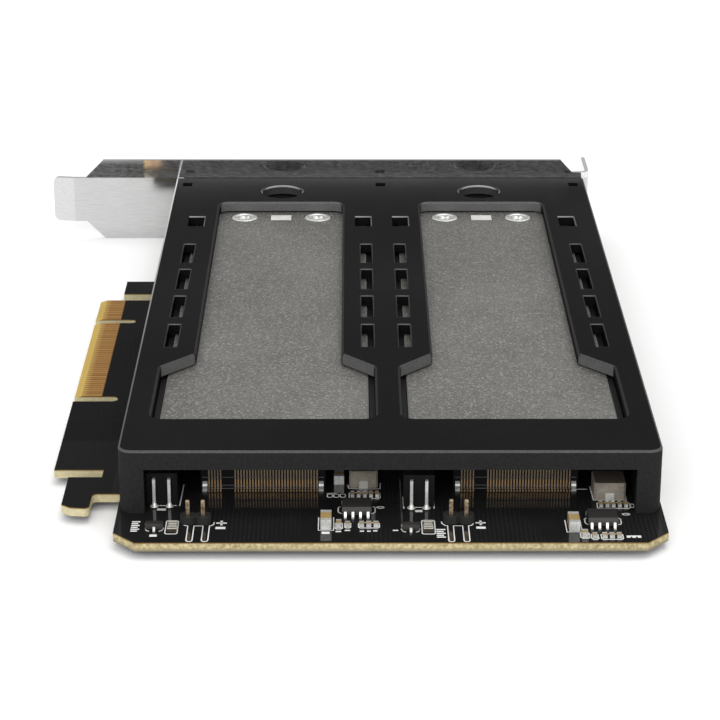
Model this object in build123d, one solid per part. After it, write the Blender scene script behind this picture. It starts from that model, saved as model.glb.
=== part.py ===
from build123d import *
import os
from dataclasses import dataclass

# Two-bay M.2 drive carrier on a full-height expansion card, in millimetres.
# Working frame: X = 0 at the edge of the contact fingers and runs across the card,
# Y = 0 at the centre of the key slot and runs towards the slot bracket,
# Z = 0 is the component face of the circuit board, +Z up.
# Each solid is moved at the end so that the origin is at the bottom centre of the card.

# Circuit board
board_thickness = 1.57
board_inset = 12.5  # from the finger edge to the body of the board
board_apron = 11.2  # board in front of the cage
board_bracket_gap = 1.0
board_corner = 3.8
board_margin = 0.35  # board outside the cage on each side
finger_bevel_length = 1.3
finger_bevel_depth = 0.42

# Edge contacts and the slots between the finger sections
finger_short_end = 12.15
finger_long_end = -39.15
finger_blank_end = -72.15
key_width = 1.9
key_depth = 8.25
middle_slot_width = 2.33
end_slot_width = 3.04
end_slot_depth = 8.63
contact_pitch = 1.0
contact_width = 0.7
contact_length = 3.78
contact_height = 0.05
contact_key_offset = 1.5  # from the key's centre to the nearest contact
short_contact_count = 11
long_contact_count = 38

# Hook and tab beside the fingers
hook_inset = 2.8
hook_width = 4.8
hook_length = 12.6
hook_nose = 1.6
hook_round = 0.95
hook_notch_depth = 6.8  # from the slot beside the hook to the bottom of its notch
tab_inset = 4.5
tab_length = 7.5
tab_slot_width = 3.8
tab_slot_depth = 1.0  # of the slot into the body of the board

# Slot bracket, full height
bracket_y = 60.0
bracket_sheet = 0.86
bracket_length = 120.02
bracket_width = 18.42
bracket_drop = 2.91  # of the lower edge below the component face
bracket_tip_reach = 14.9  # of the tab past the finger edge
bracket_tab_width = 10.19
bracket_tab_length = 7.27
bracket_tab_chamfer = 4.115
bracket_tab_bend = 4.7  # from the tip to the bend
bracket_tab_offset = 0.7  # of the bent tip away from the card
bracket_tip_radius = 1.4
bracket_neck_drop = 2.85
bracket_neck_start = 6.45  # from the flange to the top of the slanting step
bracket_neck_slope = 2.6
bracket_bend_radius = 0.9
flange_depth = 11.43
notch_width = 4.42
notch_depth = 4.6
notch_offset = 6.35  # from the face of the bracket to the notch

# Drive cage
cage_height = 11.37
cage_length = 149.6
cage_top = 2.0
side_wall = 4.3
centre_wall = 4.1
bay_width = 39.15
cage_corner = 2.4
cage_edge = 0.35
ledge_height = 0.5
ledge_width = 1.5
lintel_drop = 1.42
lintel_thickness = 2.0
cavity_length = 27.6  # of the open space behind the front opening
clip_width = 2.1
clip_length = 2.4
clip_offset = 4.9
clip_depth = 3.0
clip_inset = 2.7

# Windows in the top of the cage
window_far_gap = 17.5
window_near_gap = 13.9
window_narrow = 26.6
window_wide = 38.7
window_wide_length = 23.3
window_shoulder = 6.4
window_corner = 2.2
window_step = 1.2
window_bevel = 0.4
vent_width = 2.5
vent_length = 12.0
vent_pitch = 15.35
vent_count = 4
vent_first = 50.7  # from the bracket to the middle of the first long vent
vent_wall_gap = 0.15
small_vent_width = 3.5
small_vent_length = 6.6
small_vent_offset = 30.3
round_hole_diameter = 9.2
round_hole_offset = 10.0

# Trays
tray_side_clearance = 0.275
tray_height_clearance = 0.3
tray_opening_clearance = 0.4
tray_wall = 1.0
tray_floor = 1.0
tray_shelf = 1.4
tray_wall_drop = 0.45  # of the wall's rim below the lid's top
tray_frame_end = 15.0  # from the bracket back to the end of the frame
tray_end_wall = 1.5
floor_slot_width = 14.0
floor_slot_length = 44.0
floor_slot_start = 18.0
lid_thickness = 2.0
lid_overlap = 1.5  # past the near rim of the window, over the drive connector
lid_side_gap = 0.12
lid_edge = 0.25
lid_screw_spacing = 15.8
lid_screw_offset = 20.7
lid_screw_head = 5.6
lid_screw_head_height = 1.3
lid_screw_shank = 2.4
lid_screw_length = 6.0
boss_width = 6.0
lid_tab_width = 4.4
lid_tab_length = 3.2
lid_tab_offset = 21.1
pad_width = 20.0
pad_length = 62.0
pad_thickness = 0.9
pad_start = 5.0
post_diameter = 4.2
post_height = 0.75
post_offset = 75.8  # from the near end of the tray
front_side_gap = 0.5
front_height_gap = 0.1
front_pocket_diameter = 8.0
front_pocket_depth = 3.0
bezel_gap = 0.3
bezel_thickness = 1.6
bezel_overlap = 0.35
bezel_corner = 1.2
pull_width = 18.0
pull_length = 7.6
pull_thickness = 2.4
pull_corner = 1.5
pull_groove = 0.5
pull_groove_count = 4
tongue_spacing = 28.0
tongue_width = 5.0
tongue_height = 1.6
tongue_barb = 0.5
tongue_tip = 1.6  # of the barb along the tongue

# Screws through the board and the bracket into the cage
cage_screw_head = 4.8
cage_screw_shank = 2.2
cage_screw_length = 6.5
cage_screw_inset = 10.0  # from each end of the cage
bracket_screw_head = 3.6
bracket_screw_head_height = 0.8
bracket_screw_shank = 1.8
bracket_screw_length = 6.0
bracket_screw_height = 5.3
hole_clearance = 0.1  # radial, round each shank

# Two corners closer together than this are in the same place
same_place = 0.01

# Drive connectors
connector_width = 21.4
connector_depth = 7.5
connector_height = 4.0
connector_offset = 21.0  # from the board's near edge to the back of the housing
connector_edge = 0.4
connector_slot_width = 20.0
connector_slot_height = 1.0
connector_slot_floor = 2.45
connector_slot_depth = 5.0
connector_tray_gap = 0.8
connector_key_offset = -6.03
connector_key_width = 1.1
connector_key_gap = 1.0
tail_pitch = 0.5
tail_count = 38
tail_width = 0.22
tail_thickness = 0.2
tail_foot = 1.2
tail_height = 3.6
anchor_offset = 9.95
anchor_width = 0.8
anchor_height = 1.5
anchor_thickness = 0.35

# Small parts on the board
inductor_height = 3.1
inductor_edge = 0.35
inductor_end_width = 1.5
inductor_end_height = 1.3
inductor_end_thickness = 0.15
regulator_width = 4.9
regulator_depth = 3.9
regulator_height = 1.5
regulator_pitch = 1.27
regulator_leg_width = 0.42
regulator_leg_reach = 1.05
regulator_legs_per_side = 4
transistor_width = 2.9
transistor_depth = 1.3
transistor_height = 1.0
transistor_pitch = 0.95
transistor_leg_reach = 0.63
mould_draft = 0.15
leg_standoff = 0.15
leg_thickness = 0.17
leg_foot = 0.45
network_width = 1.6
network_length = 3.2
network_height = 0.55
network_notch = 0.16
network_rungs = 4
capacitor_width = 1.8
capacitor_length = 4.0
capacitor_height = 1.9
end_cap_share = 0.5  # length of a chip's metal end, as a share of its width
header_pitch = 2.54
header_depth = 2.4
header_height = 1.3
header_corner = 0.5
header_pin = 0.64
header_pin_height = 4.1
pin_tail = 0.7  # below the board
socket_width = 5.2
socket_depth = 6.0
socket_height = 5.8
socket_lead_gap = 0.55
socket_lead = 0.5
socket_lead_height = 5.0
socket_mouth_wall = 0.9
socket_mouth_depth = 4.0

# Places worked out from the sizes above
board_left = board_inset
cage_left = board_left + board_margin
cage_width = 2 * side_wall + 2 * bay_width + centre_wall
cage_right = cage_left + cage_width
cage_middle = (cage_left + cage_right) / 2
board_right = cage_right + board_margin
cage_far = bracket_y
cage_near = cage_far - cage_length
board_near = cage_near - board_apron
board_far = bracket_y - board_bracket_gap
bracket_low = -bracket_drop
bracket_high = bracket_low + bracket_width
bracket_tip = -bracket_tip_reach
flange_face = bracket_tip + bracket_length
bay_pitch = bay_width + centre_wall
bay_roof = cage_height - cage_top
hook_far = finger_blank_end - end_slot_width
hook_near = hook_far - hook_length
tray_half = bay_width / 2 - tray_side_clearance
tray_low = ledge_height + tray_height_clearance
tray_top = bay_roof - tray_height_clearance
lid_low = tray_top - lid_thickness
floor_top = tray_low + tray_floor
lid_half = tray_half - tray_wall - lid_side_gap
lid_near = cage_near + window_near_gap - lid_overlap
connector_back = board_near + connector_offset
connector_face = connector_back + connector_depth
tray_near = connector_face + connector_tray_gap
tray_end = bracket_y - tray_frame_end
bezel_near = bracket_y + bracket_sheet + bezel_gap
cage_screw_head_height = bracket_drop - board_thickness
bracket_screw_hole_diameter = bracket_screw_shank + 2 * hole_clearance
lid_screw_hole_diameter = lid_screw_shank + 2 * hole_clearance
end_wall_near = tray_end - tray_end_wall
tongue_low = (floor_top + lid_low - tongue_height) / 2

origin_shift = Pos(
    -(bracket_tip + flange_face) / 2,
    -(board_near + bracket_y + flange_depth) / 2,
    bracket_drop,
)


@dataclass(frozen=True)
class Chip:
    """A small two-ended part: its spot, as a bay places it, and its size."""

    x: float
    y: float
    width: float
    length: float
    height: float


@dataclass(frozen=True)
class Bay:
    """One drive bay: its name, its middle in X, and the spots of the parts that differ between bays.

    A spot is a distance from a side wall, the left one where it is positive and the right one where it is
    negative, and a distance from the board's near edge.
    """

    name: str
    middle: float
    socket: tuple
    header: tuple
    transistor: tuple
    network: tuple
    inductor: tuple
    inductor_width: float
    regulator: tuple
    capacitor: tuple
    row_start: tuple
    chips: tuple

    def place(self, spot):
        """Working-frame X and Y of a spot."""
        side = -1 if spot[0] > 0 else 1
        return self.middle + side * bay_width / 2 + spot[0], board_near + spot[1]


left_bay = Bay(
    name="left",
    middle=cage_left + side_wall + bay_width / 2,
    socket=(2.725, 14.0),
    header=(8.775, 7.8),
    transistor=(2.075, 5.3),
    network=(5.075, 5.5),
    inductor=(-2.375, 23.6),
    inductor_width=4.9,
    regulator=(-3.575, 11.9),
    capacitor=(-8.675, 6.5),
    row_start=(-4.275, 18.1),
    chips=(
        Chip(-6.575, 23.8, 1.7, 2.6, 1.6),
        Chip(-6.575, 6.3, 0.9, 1.8, 0.8),
        Chip(-5.075, 6.5, 0.8, 1.4, 0.5),
        Chip(-2.775, 6.5, 0.8, 1.4, 0.5),
        Chip(-1.575, 6.5, 0.8, 1.4, 0.5),
        Chip(-0.375, 6.5, 0.8, 1.4, 0.5),
    ),
)
right_bay = Bay(
    name="right",
    middle=left_bay.middle + bay_pitch,
    socket=(2.825, 13.2),
    header=(9.275, 8.0),
    transistor=(1.275, 4.9),
    network=(4.175, 5.4),
    inductor=(-3.875, 18.9),
    inductor_width=5.4,
    regulator=(-5.975, 7.7),
    capacitor=(-10.875, 5.8),
    row_start=(-5.575, 14.1),
    chips=(
        Chip(-9.275, 2.6, 1.0, 1.7, 0.8),
        Chip(-7.675, 2.2, 0.8, 1.4, 0.5),
        Chip(-6.075, 2.2, 0.8, 1.4, 0.5),
        Chip(-4.875, 2.2, 0.8, 1.4, 0.5),
        Chip(-3.675, 2.2, 0.8, 1.4, 0.5),
    ),
)
bays = (left_bay, right_bay)
row_chip = Chip(0.0, 0.0, 0.6, 1.6, 0.5)
row_pitch = 1.05
row_count = 5


def same(a, b):
    """Whether two coordinates are the same place."""
    return abs(a - b) < same_place


def block(x0, x1, y0, y1, z0, z1):
    """A box between two corners."""
    return Pos((x0 + x1) / 2, (y0 + y1) / 2, (z0 + z1) / 2) * Box(x1 - x0, y1 - y0, z1 - z0)


def slab(sketch, z0, z1):
    """A flat sketch drawn in X and Y, extruded from z0 to z1."""
    return Pos(0, 0, z0) * extrude(sketch, z1 - z0)


def along_y(points, y0, y1):
    """A profile drawn in X and Z, extruded along Y."""
    face = Plane(origin=(0, y0, 0), x_dir=(1, 0, 0), z_dir=(0, -1, 0)) * Polygon(*points, align=None)
    return extrude(face, y1 - y0, dir=(0, 1, 0))


def along_x(points, x0, x1):
    """A profile drawn in Y and Z, extruded along X."""
    face = Plane(origin=(x0, 0, 0), x_dir=(0, 1, 0), z_dir=(1, 0, 0)) * Polygon(*points, align=None)
    return extrude(face, x1 - x0)


def rod(x, y, z0, z1, diameter):
    """A round bar or hole along Z."""
    return Pos(x, y, (z0 + z1) / 2) * Cylinder(diameter / 2, z1 - z0)


def rod_y(x, y0, y1, z, diameter):
    """A round bar or hole along Y."""
    return Pos(x, (y0 + y1) / 2, z) * Rot(90, 0, 0) * Cylinder(diameter / 2, y1 - y0)


def edge_slot(y0, y1, x_tip):
    """A slot into the finger edge, from beyond the edge to a round tip."""
    radius = (y1 - y0) / 2
    middle = (y0 + y1) / 2
    outside = -contact_pitch
    round_x = x_tip - radius
    straight = Pos((outside + round_x) / 2, middle) * Rectangle(round_x - outside, y1 - y0)
    return straight + Pos(round_x, middle) * Circle(radius)


def hook_sketch():
    """The hook at the near end of the fingers: a straight inner side and a slanting nose."""
    outer = hook_inset
    inner = hook_inset + hook_width
    joint = hook_far - hook_notch_depth
    outline = Polygon(
        (outer, hook_far),
        (outer, hook_near + hook_nose),
        (outer + hook_nose, hook_near + hook_nose / 4),
        (inner, hook_near),
        (inner, joint),
        (board_left, joint),
        (board_left, hook_far),
        align=None,
    )
    return fillet(outline.vertices().filter_by(lambda v: same(v.X, inner)), hook_round)


def board_sketch():
    """Outline of the board: body, finger tongue, hook and tab, less the slots."""
    corners = board_corner
    body = Polygon(
        (board_left, board_far),
        (board_left, board_near + corners),
        (board_left + corners, board_near),
        (board_right - corners, board_near),
        (board_right, board_near + corners),
        (board_right, board_far),
        align=None,
    )
    tongue_middle = (finger_short_end + finger_blank_end) / 2
    tongue_length = finger_short_end - finger_blank_end
    root = board_left + board_margin
    tongue = Pos(root / 2, tongue_middle) * Rectangle(root, tongue_length)
    tab_near = finger_short_end + tab_slot_width
    tab = Pos((tab_inset + root) / 2, tab_near + tab_length / 2) * Rectangle(root - tab_inset, tab_length)
    neck_width = end_slot_width + board_margin
    neck_left = end_slot_depth
    neck = Pos((neck_left + root) / 2, hook_far + neck_width / 2) * Rectangle(root - neck_left, neck_width)
    sketch = body + tongue + tab + neck + hook_sketch()
    sketch -= edge_slot(-key_width / 2, key_width / 2, key_depth)
    sketch -= edge_slot(finger_long_end - middle_slot_width, finger_long_end, key_depth)
    sketch -= edge_slot(hook_far, finger_blank_end, end_slot_depth)
    sketch -= edge_slot(finger_short_end, tab_near, board_left + tab_slot_depth)
    return sketch


def cage_screw_spots():
    """Places of the screws that hold the cage down, in the middle of its side walls."""
    sides = (cage_left + side_wall / 2, cage_right - side_wall / 2)
    ends = (cage_near + cage_screw_inset, cage_far - cage_screw_inset)
    return [(x, y) for x in sides for y in ends]


def pin_spots(bay):
    """Places of the header pins and of the socket's leads, which go through the board."""
    spots = []
    for centre in (bay.header, bay.socket):
        x, y = bay.place(centre)
        spots += [(x - header_pitch / 2, y), (x + header_pitch / 2, y)]
    return spots


def circuit_board():
    """The board with its bevelled fingers and its holes for screws, pins and leads."""
    board = slab(board_sketch(), -board_thickness, 0)
    reach = finger_bevel_length
    depth = finger_bevel_depth
    low = -board_thickness
    board -= along_y([(0, 0), (reach, 0), (0, -depth)], finger_long_end, finger_short_end)
    board -= along_y([(0, low), (reach, low), (0, low + depth)], finger_long_end, finger_short_end)
    for x, y in cage_screw_spots():
        board -= rod(x, y, low, 0, cage_screw_shank + 2 * hole_clearance)
    for bay in bays:
        for x, y in pin_spots(bay):
            half = header_pin / 2 + hole_clearance
            board -= block(x - half, x + half, y - half, y + half, low, 0)
    return board


def edge_contacts(z0, z1):
    """Gold contacts on one face of the fingers, in the short and the long section."""
    places = [contact_key_offset + i * contact_pitch for i in range(short_contact_count)]
    places += [-contact_key_offset - i * contact_pitch for i in range(long_contact_count)]
    x0 = finger_bevel_length
    half = contact_width / 2
    return [block(x0, x0 + contact_length, y - half, y + half, z0, z1) for y in places]


def bracket_face():
    """Front outline of the bracket in X and Z, with its tab, chamfers and stepped neck."""
    middle = (bracket_low + bracket_high) / 2
    half_tab = bracket_tab_width / 2
    tab_end = bracket_tip + bracket_tab_length
    shoulder = tab_end + bracket_tab_chamfer
    step = flange_face - bracket_neck_start
    outline = Polygon(
        (bracket_tip, middle - half_tab),
        (tab_end, middle - half_tab),
        (shoulder, bracket_low),
        (flange_face, bracket_low),
        (flange_face, bracket_high - bracket_neck_drop),
        (step + bracket_neck_slope, bracket_high - bracket_neck_drop),
        (step, bracket_high),
        (shoulder, bracket_high),
        (tab_end, middle + half_tab),
        (bracket_tip, middle + half_tab),
        align=None,
    )
    return fillet(outline.vertices().filter_by(lambda v: same(v.X, bracket_tip)), bracket_tip_radius)


def bracket_fold():
    """Top profile of the bent sheet in X and Y: bent tip, straight body, rounded bend and flange."""
    near = bracket_y
    far = bracket_y + bracket_sheet
    bend = bracket_tip + bracket_tab_bend
    offset = bracket_tab_offset
    inner = flange_face - bracket_sheet
    sheet = Polygon(
        (bracket_tip, near + offset),
        (bend, near),
        (flange_face, near),
        (flange_face, near + flange_depth),
        (inner, near + flange_depth),
        (inner, far),
        (bend, far),
        (bracket_tip, far + offset),
        align=None,
    )
    outer_corner = sheet.vertices().filter_by(lambda v: v.X > inner + same_place and v.Y < near + same_place)
    sheet = fillet(outer_corner, bracket_bend_radius + bracket_sheet)
    inner_corner = sheet.vertices().filter_by(lambda v: same(v.X, inner) and same(v.Y, far))
    return fillet(inner_corner, bracket_bend_radius)


def tray_opening(bay):
    """The hole in the bracket that the tray slides through."""
    gap = tray_opening_clearance
    y0 = bracket_y - gap
    y1 = bracket_y + bracket_sheet + gap
    half = bay_width / 2
    return block(bay.middle - half, bay.middle + half, y0, y1, tray_low - gap, tray_top + gap)


def bracket_screw_spots():
    """Places across the card of the screws that hold the bracket to the cage's walls."""
    return (cage_left + side_wall / 2, cage_right - side_wall / 2)


def slot_bracket():
    """The bent sheet cut to its front outline, with tray holes, screw holes and the open screw notch."""
    reach = flange_depth + bracket_sheet
    face_plane = Plane(origin=(0, bracket_y, 0), x_dir=(1, 0, 0), z_dir=(0, -1, 0))
    front = extrude(face_plane * bracket_face(), reach, dir=(0, 1, 0))
    bracket = slab(bracket_fold(), bracket_low, bracket_high) & front
    for bay in bays:
        bracket -= tray_opening(bay)
    for x in bracket_screw_spots():
        bracket -= bracket_screw_hole(x)
    notch_y = bracket_y + notch_offset
    half = notch_width / 2
    notch_top = bracket_low + notch_depth - half
    x0 = flange_face - 2 * bracket_sheet
    x1 = flange_face + bracket_sheet
    bracket -= block(x0, x1, notch_y - half, notch_y + half, bracket_low - half, notch_top)
    bracket -= Pos((x0 + x1) / 2, notch_y, notch_top) * Rot(0, 90, 0) * Cylinder(half, x1 - x0)
    return bracket


def low_head(diameter, shank, head_height, length):
    """A low-head screw about Z: its seat at Z = 0, its head above and its point below."""
    wide = diameter / 2
    thin = shank / 2
    profile = Polygon(
        (0, -length),
        (thin, -length),
        (thin, 0),
        (wide, 0),
        (wide, head_height),
        (0, head_height),
        align=None,
    )
    return revolve(Plane.XZ * profile, Axis.Z)


def bracket_screw_hole(x):
    """The hole for a bracket screw, through the bracket and into the cage's wall."""
    near = bracket_y + bracket_sheet - bracket_screw_length - hole_clearance
    return rod_y(x, near, bracket_y + bracket_sheet, bracket_screw_height, bracket_screw_hole_diameter)


def bracket_screws():
    """The screws on the outer face of the bracket that hold it to the cage's walls."""
    head = bracket_screw_head
    screw = low_head(head, bracket_screw_shank, bracket_screw_head_height, bracket_screw_length)
    seat = bracket_y + bracket_sheet
    return [Pos(x, seat, bracket_screw_height) * Rot(-90, 0, 0) * screw for x in bracket_screw_spots()]


def cage_screws():
    """The screws under the board that hold the cage down; the card rests on their heads."""
    screw = low_head(cage_screw_head, cage_screw_shank, cage_screw_head_height, cage_screw_length)
    return [Pos(x, y, -board_thickness) * Rot(180, 0, 0) * screw for x, y in cage_screw_spots()]


def window_sketch(bay):
    """The T-shaped window: narrow towards the bracket, with slanting shoulders to its wide near part."""
    x = bay.middle
    narrow = window_narrow / 2
    wide = window_wide / 2
    far = cage_far - window_far_gap
    near = cage_near + window_near_gap
    shoulder_near = near + window_wide_length
    shoulder_far = shoulder_near + window_shoulder
    outline = Polygon(
        (x - narrow, far),
        (x - narrow, shoulder_far),
        (x - wide, shoulder_near),
        (x - wide, near),
        (x + wide, near),
        (x + wide, shoulder_near),
        (x + narrow, shoulder_far),
        (x + narrow, far),
        align=None,
    )
    ends = outline.vertices().filter_by(lambda v: same(v.Y, far) or same(v.Y, near))
    outline = fillet(ends, window_corner)
    steps = outline.vertices().filter_by(lambda v: same(v.Y, shoulder_near) or same(v.Y, shoulder_far))
    return fillet(steps, window_step)


def window_cut(bay):
    """The window's cut through the top, with a bevel round its upper edge."""
    outline = window_sketch(bay)
    cut = slab(outline, bay_roof, cage_height)
    bevel = Pos(0, 0, cage_height) * extrude(
        offset(outline, window_bevel), window_bevel, dir=(0, 0, -1), taper=45
    )
    return cut + bevel


def vent_cuts(bay):
    """Two rows of vents beside the window: a short one near the bracket and long ones in front of it."""
    cuts = []
    for side in (-1, 1):
        reach = bay_width / 2 - vent_wall_gap
        x = bay.middle + side * (reach - vent_width / 2)
        for i in range(vent_count):
            y = cage_far - vent_first - i * vent_pitch
            cuts.append(slab(Pos(x, y) * Rectangle(vent_width, vent_length), bay_roof, cage_height))
        x = bay.middle + side * (reach - small_vent_width / 2)
        y = cage_far - small_vent_offset
        cuts.append(slab(Pos(x, y) * Rectangle(small_vent_width, small_vent_length), bay_roof, cage_height))
    return cuts


def bay_hollow(bay):
    """The space that a tray slides in, with a guide ledge left along each side of its floor."""
    half = bay_width / 2
    inner = half - ledge_width
    x = bay.middle
    profile = [
        (x - inner, 0),
        (x + inner, 0),
        (x + inner, ledge_height),
        (x + half, ledge_height),
        (x + half, bay_roof),
        (x - half, bay_roof),
        (x - half, ledge_height),
        (x - inner, ledge_height),
    ]
    return along_y(profile, cage_near + cavity_length, cage_far)


def round_hole(bay):
    """The round sight hole near the bracket."""
    return rod(bay.middle, cage_far - round_hole_offset, bay_roof, cage_height, round_hole_diameter)


def clip_pockets():
    """Three small square pockets in the top of the cage at the bracket's edge."""
    far = cage_far - clip_offset + clip_length / 2
    near = far - clip_length
    floor = cage_height - clip_depth
    half = clip_width / 2
    places = (cage_left + clip_inset, cage_middle, cage_right - clip_inset)
    return [block(x - half, x + half, near, far, floor, cage_height) for x in places]


def drive_cage():
    """The one-piece cage: rounded shell, two bays, front opening under a lintel, windows and vents."""
    cage = block(cage_left, cage_right, cage_near, cage_far, 0, cage_height)
    uprights = cage.edges().filter_by(Axis.Z)
    cage = fillet(uprights.group_by(Axis.Y)[0], cage_corner)
    cage = chamfer(cage.faces().sort_by(Axis.Z)[-1].edges(), cage_edge)
    inner_left = cage_left + side_wall
    inner_right = cage_right - side_wall
    cavity_far = cage_near + cavity_length
    cage -= block(inner_left, inner_right, cage_near + lintel_thickness, cavity_far, 0, bay_roof)
    cage -= block(inner_left, inner_right, cage_near, cavity_far, 0, bay_roof - lintel_drop)
    for bay in bays:
        cage -= bay_hollow(bay)
        cage -= window_cut(bay)
        cage -= round_hole(bay)
        for cut in vent_cuts(bay):
            cage -= cut
    for cut in clip_pockets():
        cage -= cut
    depth = cage_screw_length - board_thickness + hole_clearance
    for x, y in cage_screw_spots():
        cage -= rod(x, y, 0, depth, cage_screw_shank + 2 * hole_clearance)
    for x in bracket_screw_spots():
        cage -= bracket_screw_hole(x)
    return cage


def lid_screw_spots(bay):
    """Places of the two screws that hold a lid."""
    y = bracket_y - lid_screw_offset
    half = lid_screw_spacing / 2
    return [(bay.middle - half, y), (bay.middle + half, y)]


def tongue_middles(bay):
    """Places across the bay of the two tongues that hold a tray's front."""
    return (bay.middle - tongue_spacing / 2, bay.middle + tongue_spacing / 2)


def tray_frame(bay):
    """The tray's channel: floor, side walls with a shelf for the lid, end wall and screw bosses."""
    x = bay.middle
    outer = tray_half
    shelf = tray_half - tray_wall - tray_shelf
    rim = tray_top - tray_wall_drop
    wall = tray_half - tray_wall
    profile = [
        (x - outer, tray_low),
        (x + outer, tray_low),
        (x + outer, rim),
        (x + wall, rim),
        (x + wall, lid_low),
        (x + shelf, lid_low),
        (x + shelf, floor_top),
        (x - shelf, floor_top),
        (x - shelf, lid_low),
        (x - wall, lid_low),
        (x - wall, rim),
        (x - outer, rim),
    ]
    frame = along_y(profile, tray_near, tray_end)
    frame += block(x - shelf, x + shelf, end_wall_near, tray_end, floor_top, lid_low)
    boss = boss_width / 2
    for sx, sy in lid_screw_spots(bay):
        frame += block(sx - boss, sx + boss, sy - boss, sy + boss, floor_top, lid_low)
        frame -= rod(sx, sy, floor_top, lid_low, lid_screw_hole_diameter)
    tab_near = bracket_y - lid_tab_offset - lid_tab_length / 2
    tab_half = lid_tab_width / 2
    frame += block(x - tab_half, x + tab_half, tab_near, tab_near + lid_tab_length, floor_top, lid_low)
    half = tongue_width / 2 + hole_clearance
    low = tongue_low - hole_clearance
    high = tongue_low + tongue_height + hole_clearance
    for middle in tongue_middles(bay):
        frame -= block(middle - half, middle + half, end_wall_near, tray_end, low, high)
    slot = floor_slot_width / 2
    slot_near = tray_near + floor_slot_start
    return frame - block(x - slot, x + slot, slot_near, slot_near + floor_slot_length, tray_low, floor_top)


def lid_screw_hole(sx, sy):
    """The counterbored hole for a lid screw, through the lid's whole thickness."""
    seat = tray_top - lid_screw_head_height
    counterbore = rod(sx, sy, seat, tray_top, lid_screw_head + 2 * hole_clearance)
    return counterbore + rod(sx, sy, lid_low, seat, lid_screw_hole_diameter)


def tray_lid(bay):
    """The flat lid with bevelled edges, counterbored holes and the slot for the locating tab."""
    x = bay.middle
    lid = block(x - lid_half, x + lid_half, lid_near, tray_end - lid_side_gap, lid_low, tray_top)
    lid = chamfer(lid.faces().sort_by(Axis.Z)[-1].edges(), lid_edge)
    for sx, sy in lid_screw_spots(bay):
        lid -= lid_screw_hole(sx, sy)
    y = bracket_y - lid_tab_offset
    half_width = lid_tab_width / 2 + hole_clearance
    half_length = lid_tab_length / 2 + hole_clearance
    return lid - block(x - half_width, x + half_width, y - half_length, y + half_length, lid_low, tray_top)


def lid_screws(bay):
    """The two screws of a lid, their heads flush with its top."""
    shank_length = lid_screw_length - lid_screw_head_height
    screw = low_head(lid_screw_head, lid_screw_shank, lid_screw_head_height, shank_length)
    seat = tray_top - lid_screw_head_height
    return [Pos(sx, sy, seat) * screw for sx, sy in lid_screw_spots(bay)]


def lid_tab(bay):
    """The bright tab that stands on the frame and locates the lid."""
    y = bracket_y - lid_tab_offset
    half_width = lid_tab_width / 2
    half_length = lid_tab_length / 2
    x = bay.middle
    return block(x - half_width, x + half_width, y - half_length, y + half_length, lid_low, tray_top)


def thermal_pad(bay):
    """The soft pad under the lid, over the drive."""
    x = bay.middle
    y = tray_near + pad_start
    return block(x - pad_width / 2, x + pad_width / 2, y, y + pad_length, lid_low - pad_thickness, lid_low)


def drive_post(bay):
    """The six-sided post that a drive's far end is screwed to."""
    post = RegularPolygon(post_diameter / 2, 6)
    return slab(Pos(bay.middle, tray_near + post_offset) * post, floor_top, floor_top + post_height)


def snap_tongue(middle):
    """A tongue through the frame's end wall, with a barb that catches behind it."""
    high = tongue_low + tongue_height
    catch = end_wall_near - hole_clearance
    tip = catch - tongue_tip
    profile = [
        (tray_end, tongue_low),
        (tray_end, high),
        (catch, high),
        (catch, high + tongue_barb),
        (tip, high - tongue_barb),
        (tip, tongue_low),
    ]
    return along_x(profile, middle - tongue_width / 2, middle + tongue_width / 2)


def tray_front(bay):
    """The tray's moulded front: a block inside the bay, a bezel outside the bracket and a ribbed pull."""
    x = bay.middle
    half = tray_half - front_side_gap + tray_side_clearance
    low = tray_low + front_height_gap
    top = tray_top - front_height_gap
    front = block(x - half, x + half, tray_end, bezel_near, low, top)
    front -= rod(x, cage_far - round_hole_offset, top - front_pocket_depth, top, front_pocket_diameter)
    wide = bay_width / 2 + bezel_overlap
    middle = (tray_low + tray_top) / 2
    pull_near = bezel_near + bezel_thickness
    half_height = (tray_top - tray_low) / 2 + tray_opening_clearance + bezel_overlap
    bezel = block(x - wide, x + wide, bezel_near, pull_near, middle - half_height, middle + half_height)
    front += chamfer(bezel.edges().filter_by(Axis.Y), bezel_corner)
    half_pull = pull_thickness / 2
    pull_root = pull_near - bezel_thickness
    pull_half = pull_width / 2
    pull_end = pull_near + pull_length
    pull = block(x - pull_half, x + pull_half, pull_root, pull_end, middle - half_pull, middle + half_pull)
    front += chamfer(pull.edges().filter_by(Axis.Z).group_by(Axis.Y)[-1], pull_corner)
    step = pull_length / (pull_groove_count + 1)
    for i in range(pull_groove_count):
        y = pull_near + (i + 1) * step
        z = middle + half_pull
        half_groove = pull_groove / 2
        grip = pull_width / 2 - pull_groove
        front -= block(x - grip, x + grip, y - half_groove, y + half_groove, z - half_groove, z)
    for tongue_middle in tongue_middles(bay):
        front += snap_tongue(tongue_middle)
    return front


def drive_connector(bay):
    """The drive connector's housing: a slot in its face, split by the key, and a bevelled back edge."""
    x = bay.middle
    half = connector_width / 2
    edge = connector_edge
    profile = [
        (connector_back, 0),
        (connector_face, 0),
        (connector_face, connector_height),
        (connector_back + edge, connector_height),
        (connector_back, connector_height - edge),
    ]
    housing = along_x(profile, x - half, x + half)
    slot_half = connector_slot_width / 2
    key_left = connector_key_offset - connector_key_width / 2
    key_right = connector_key_offset + connector_key_width / 2
    low = connector_slot_floor
    high = low + connector_slot_height
    back = connector_face - connector_slot_depth
    for start, end in ((-slot_half, key_left), (key_right, slot_half)):
        housing -= block(x + start, x + end, back, connector_face, low, high)
    return housing


def tail_places():
    """Places of the contact tails across the connector, with none at the key."""
    first = -(tail_count - 1) * tail_pitch / 2
    places = [first + i * tail_pitch for i in range(tail_count)]
    return [place for place in places if abs(place - connector_key_offset) > connector_key_gap]


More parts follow.
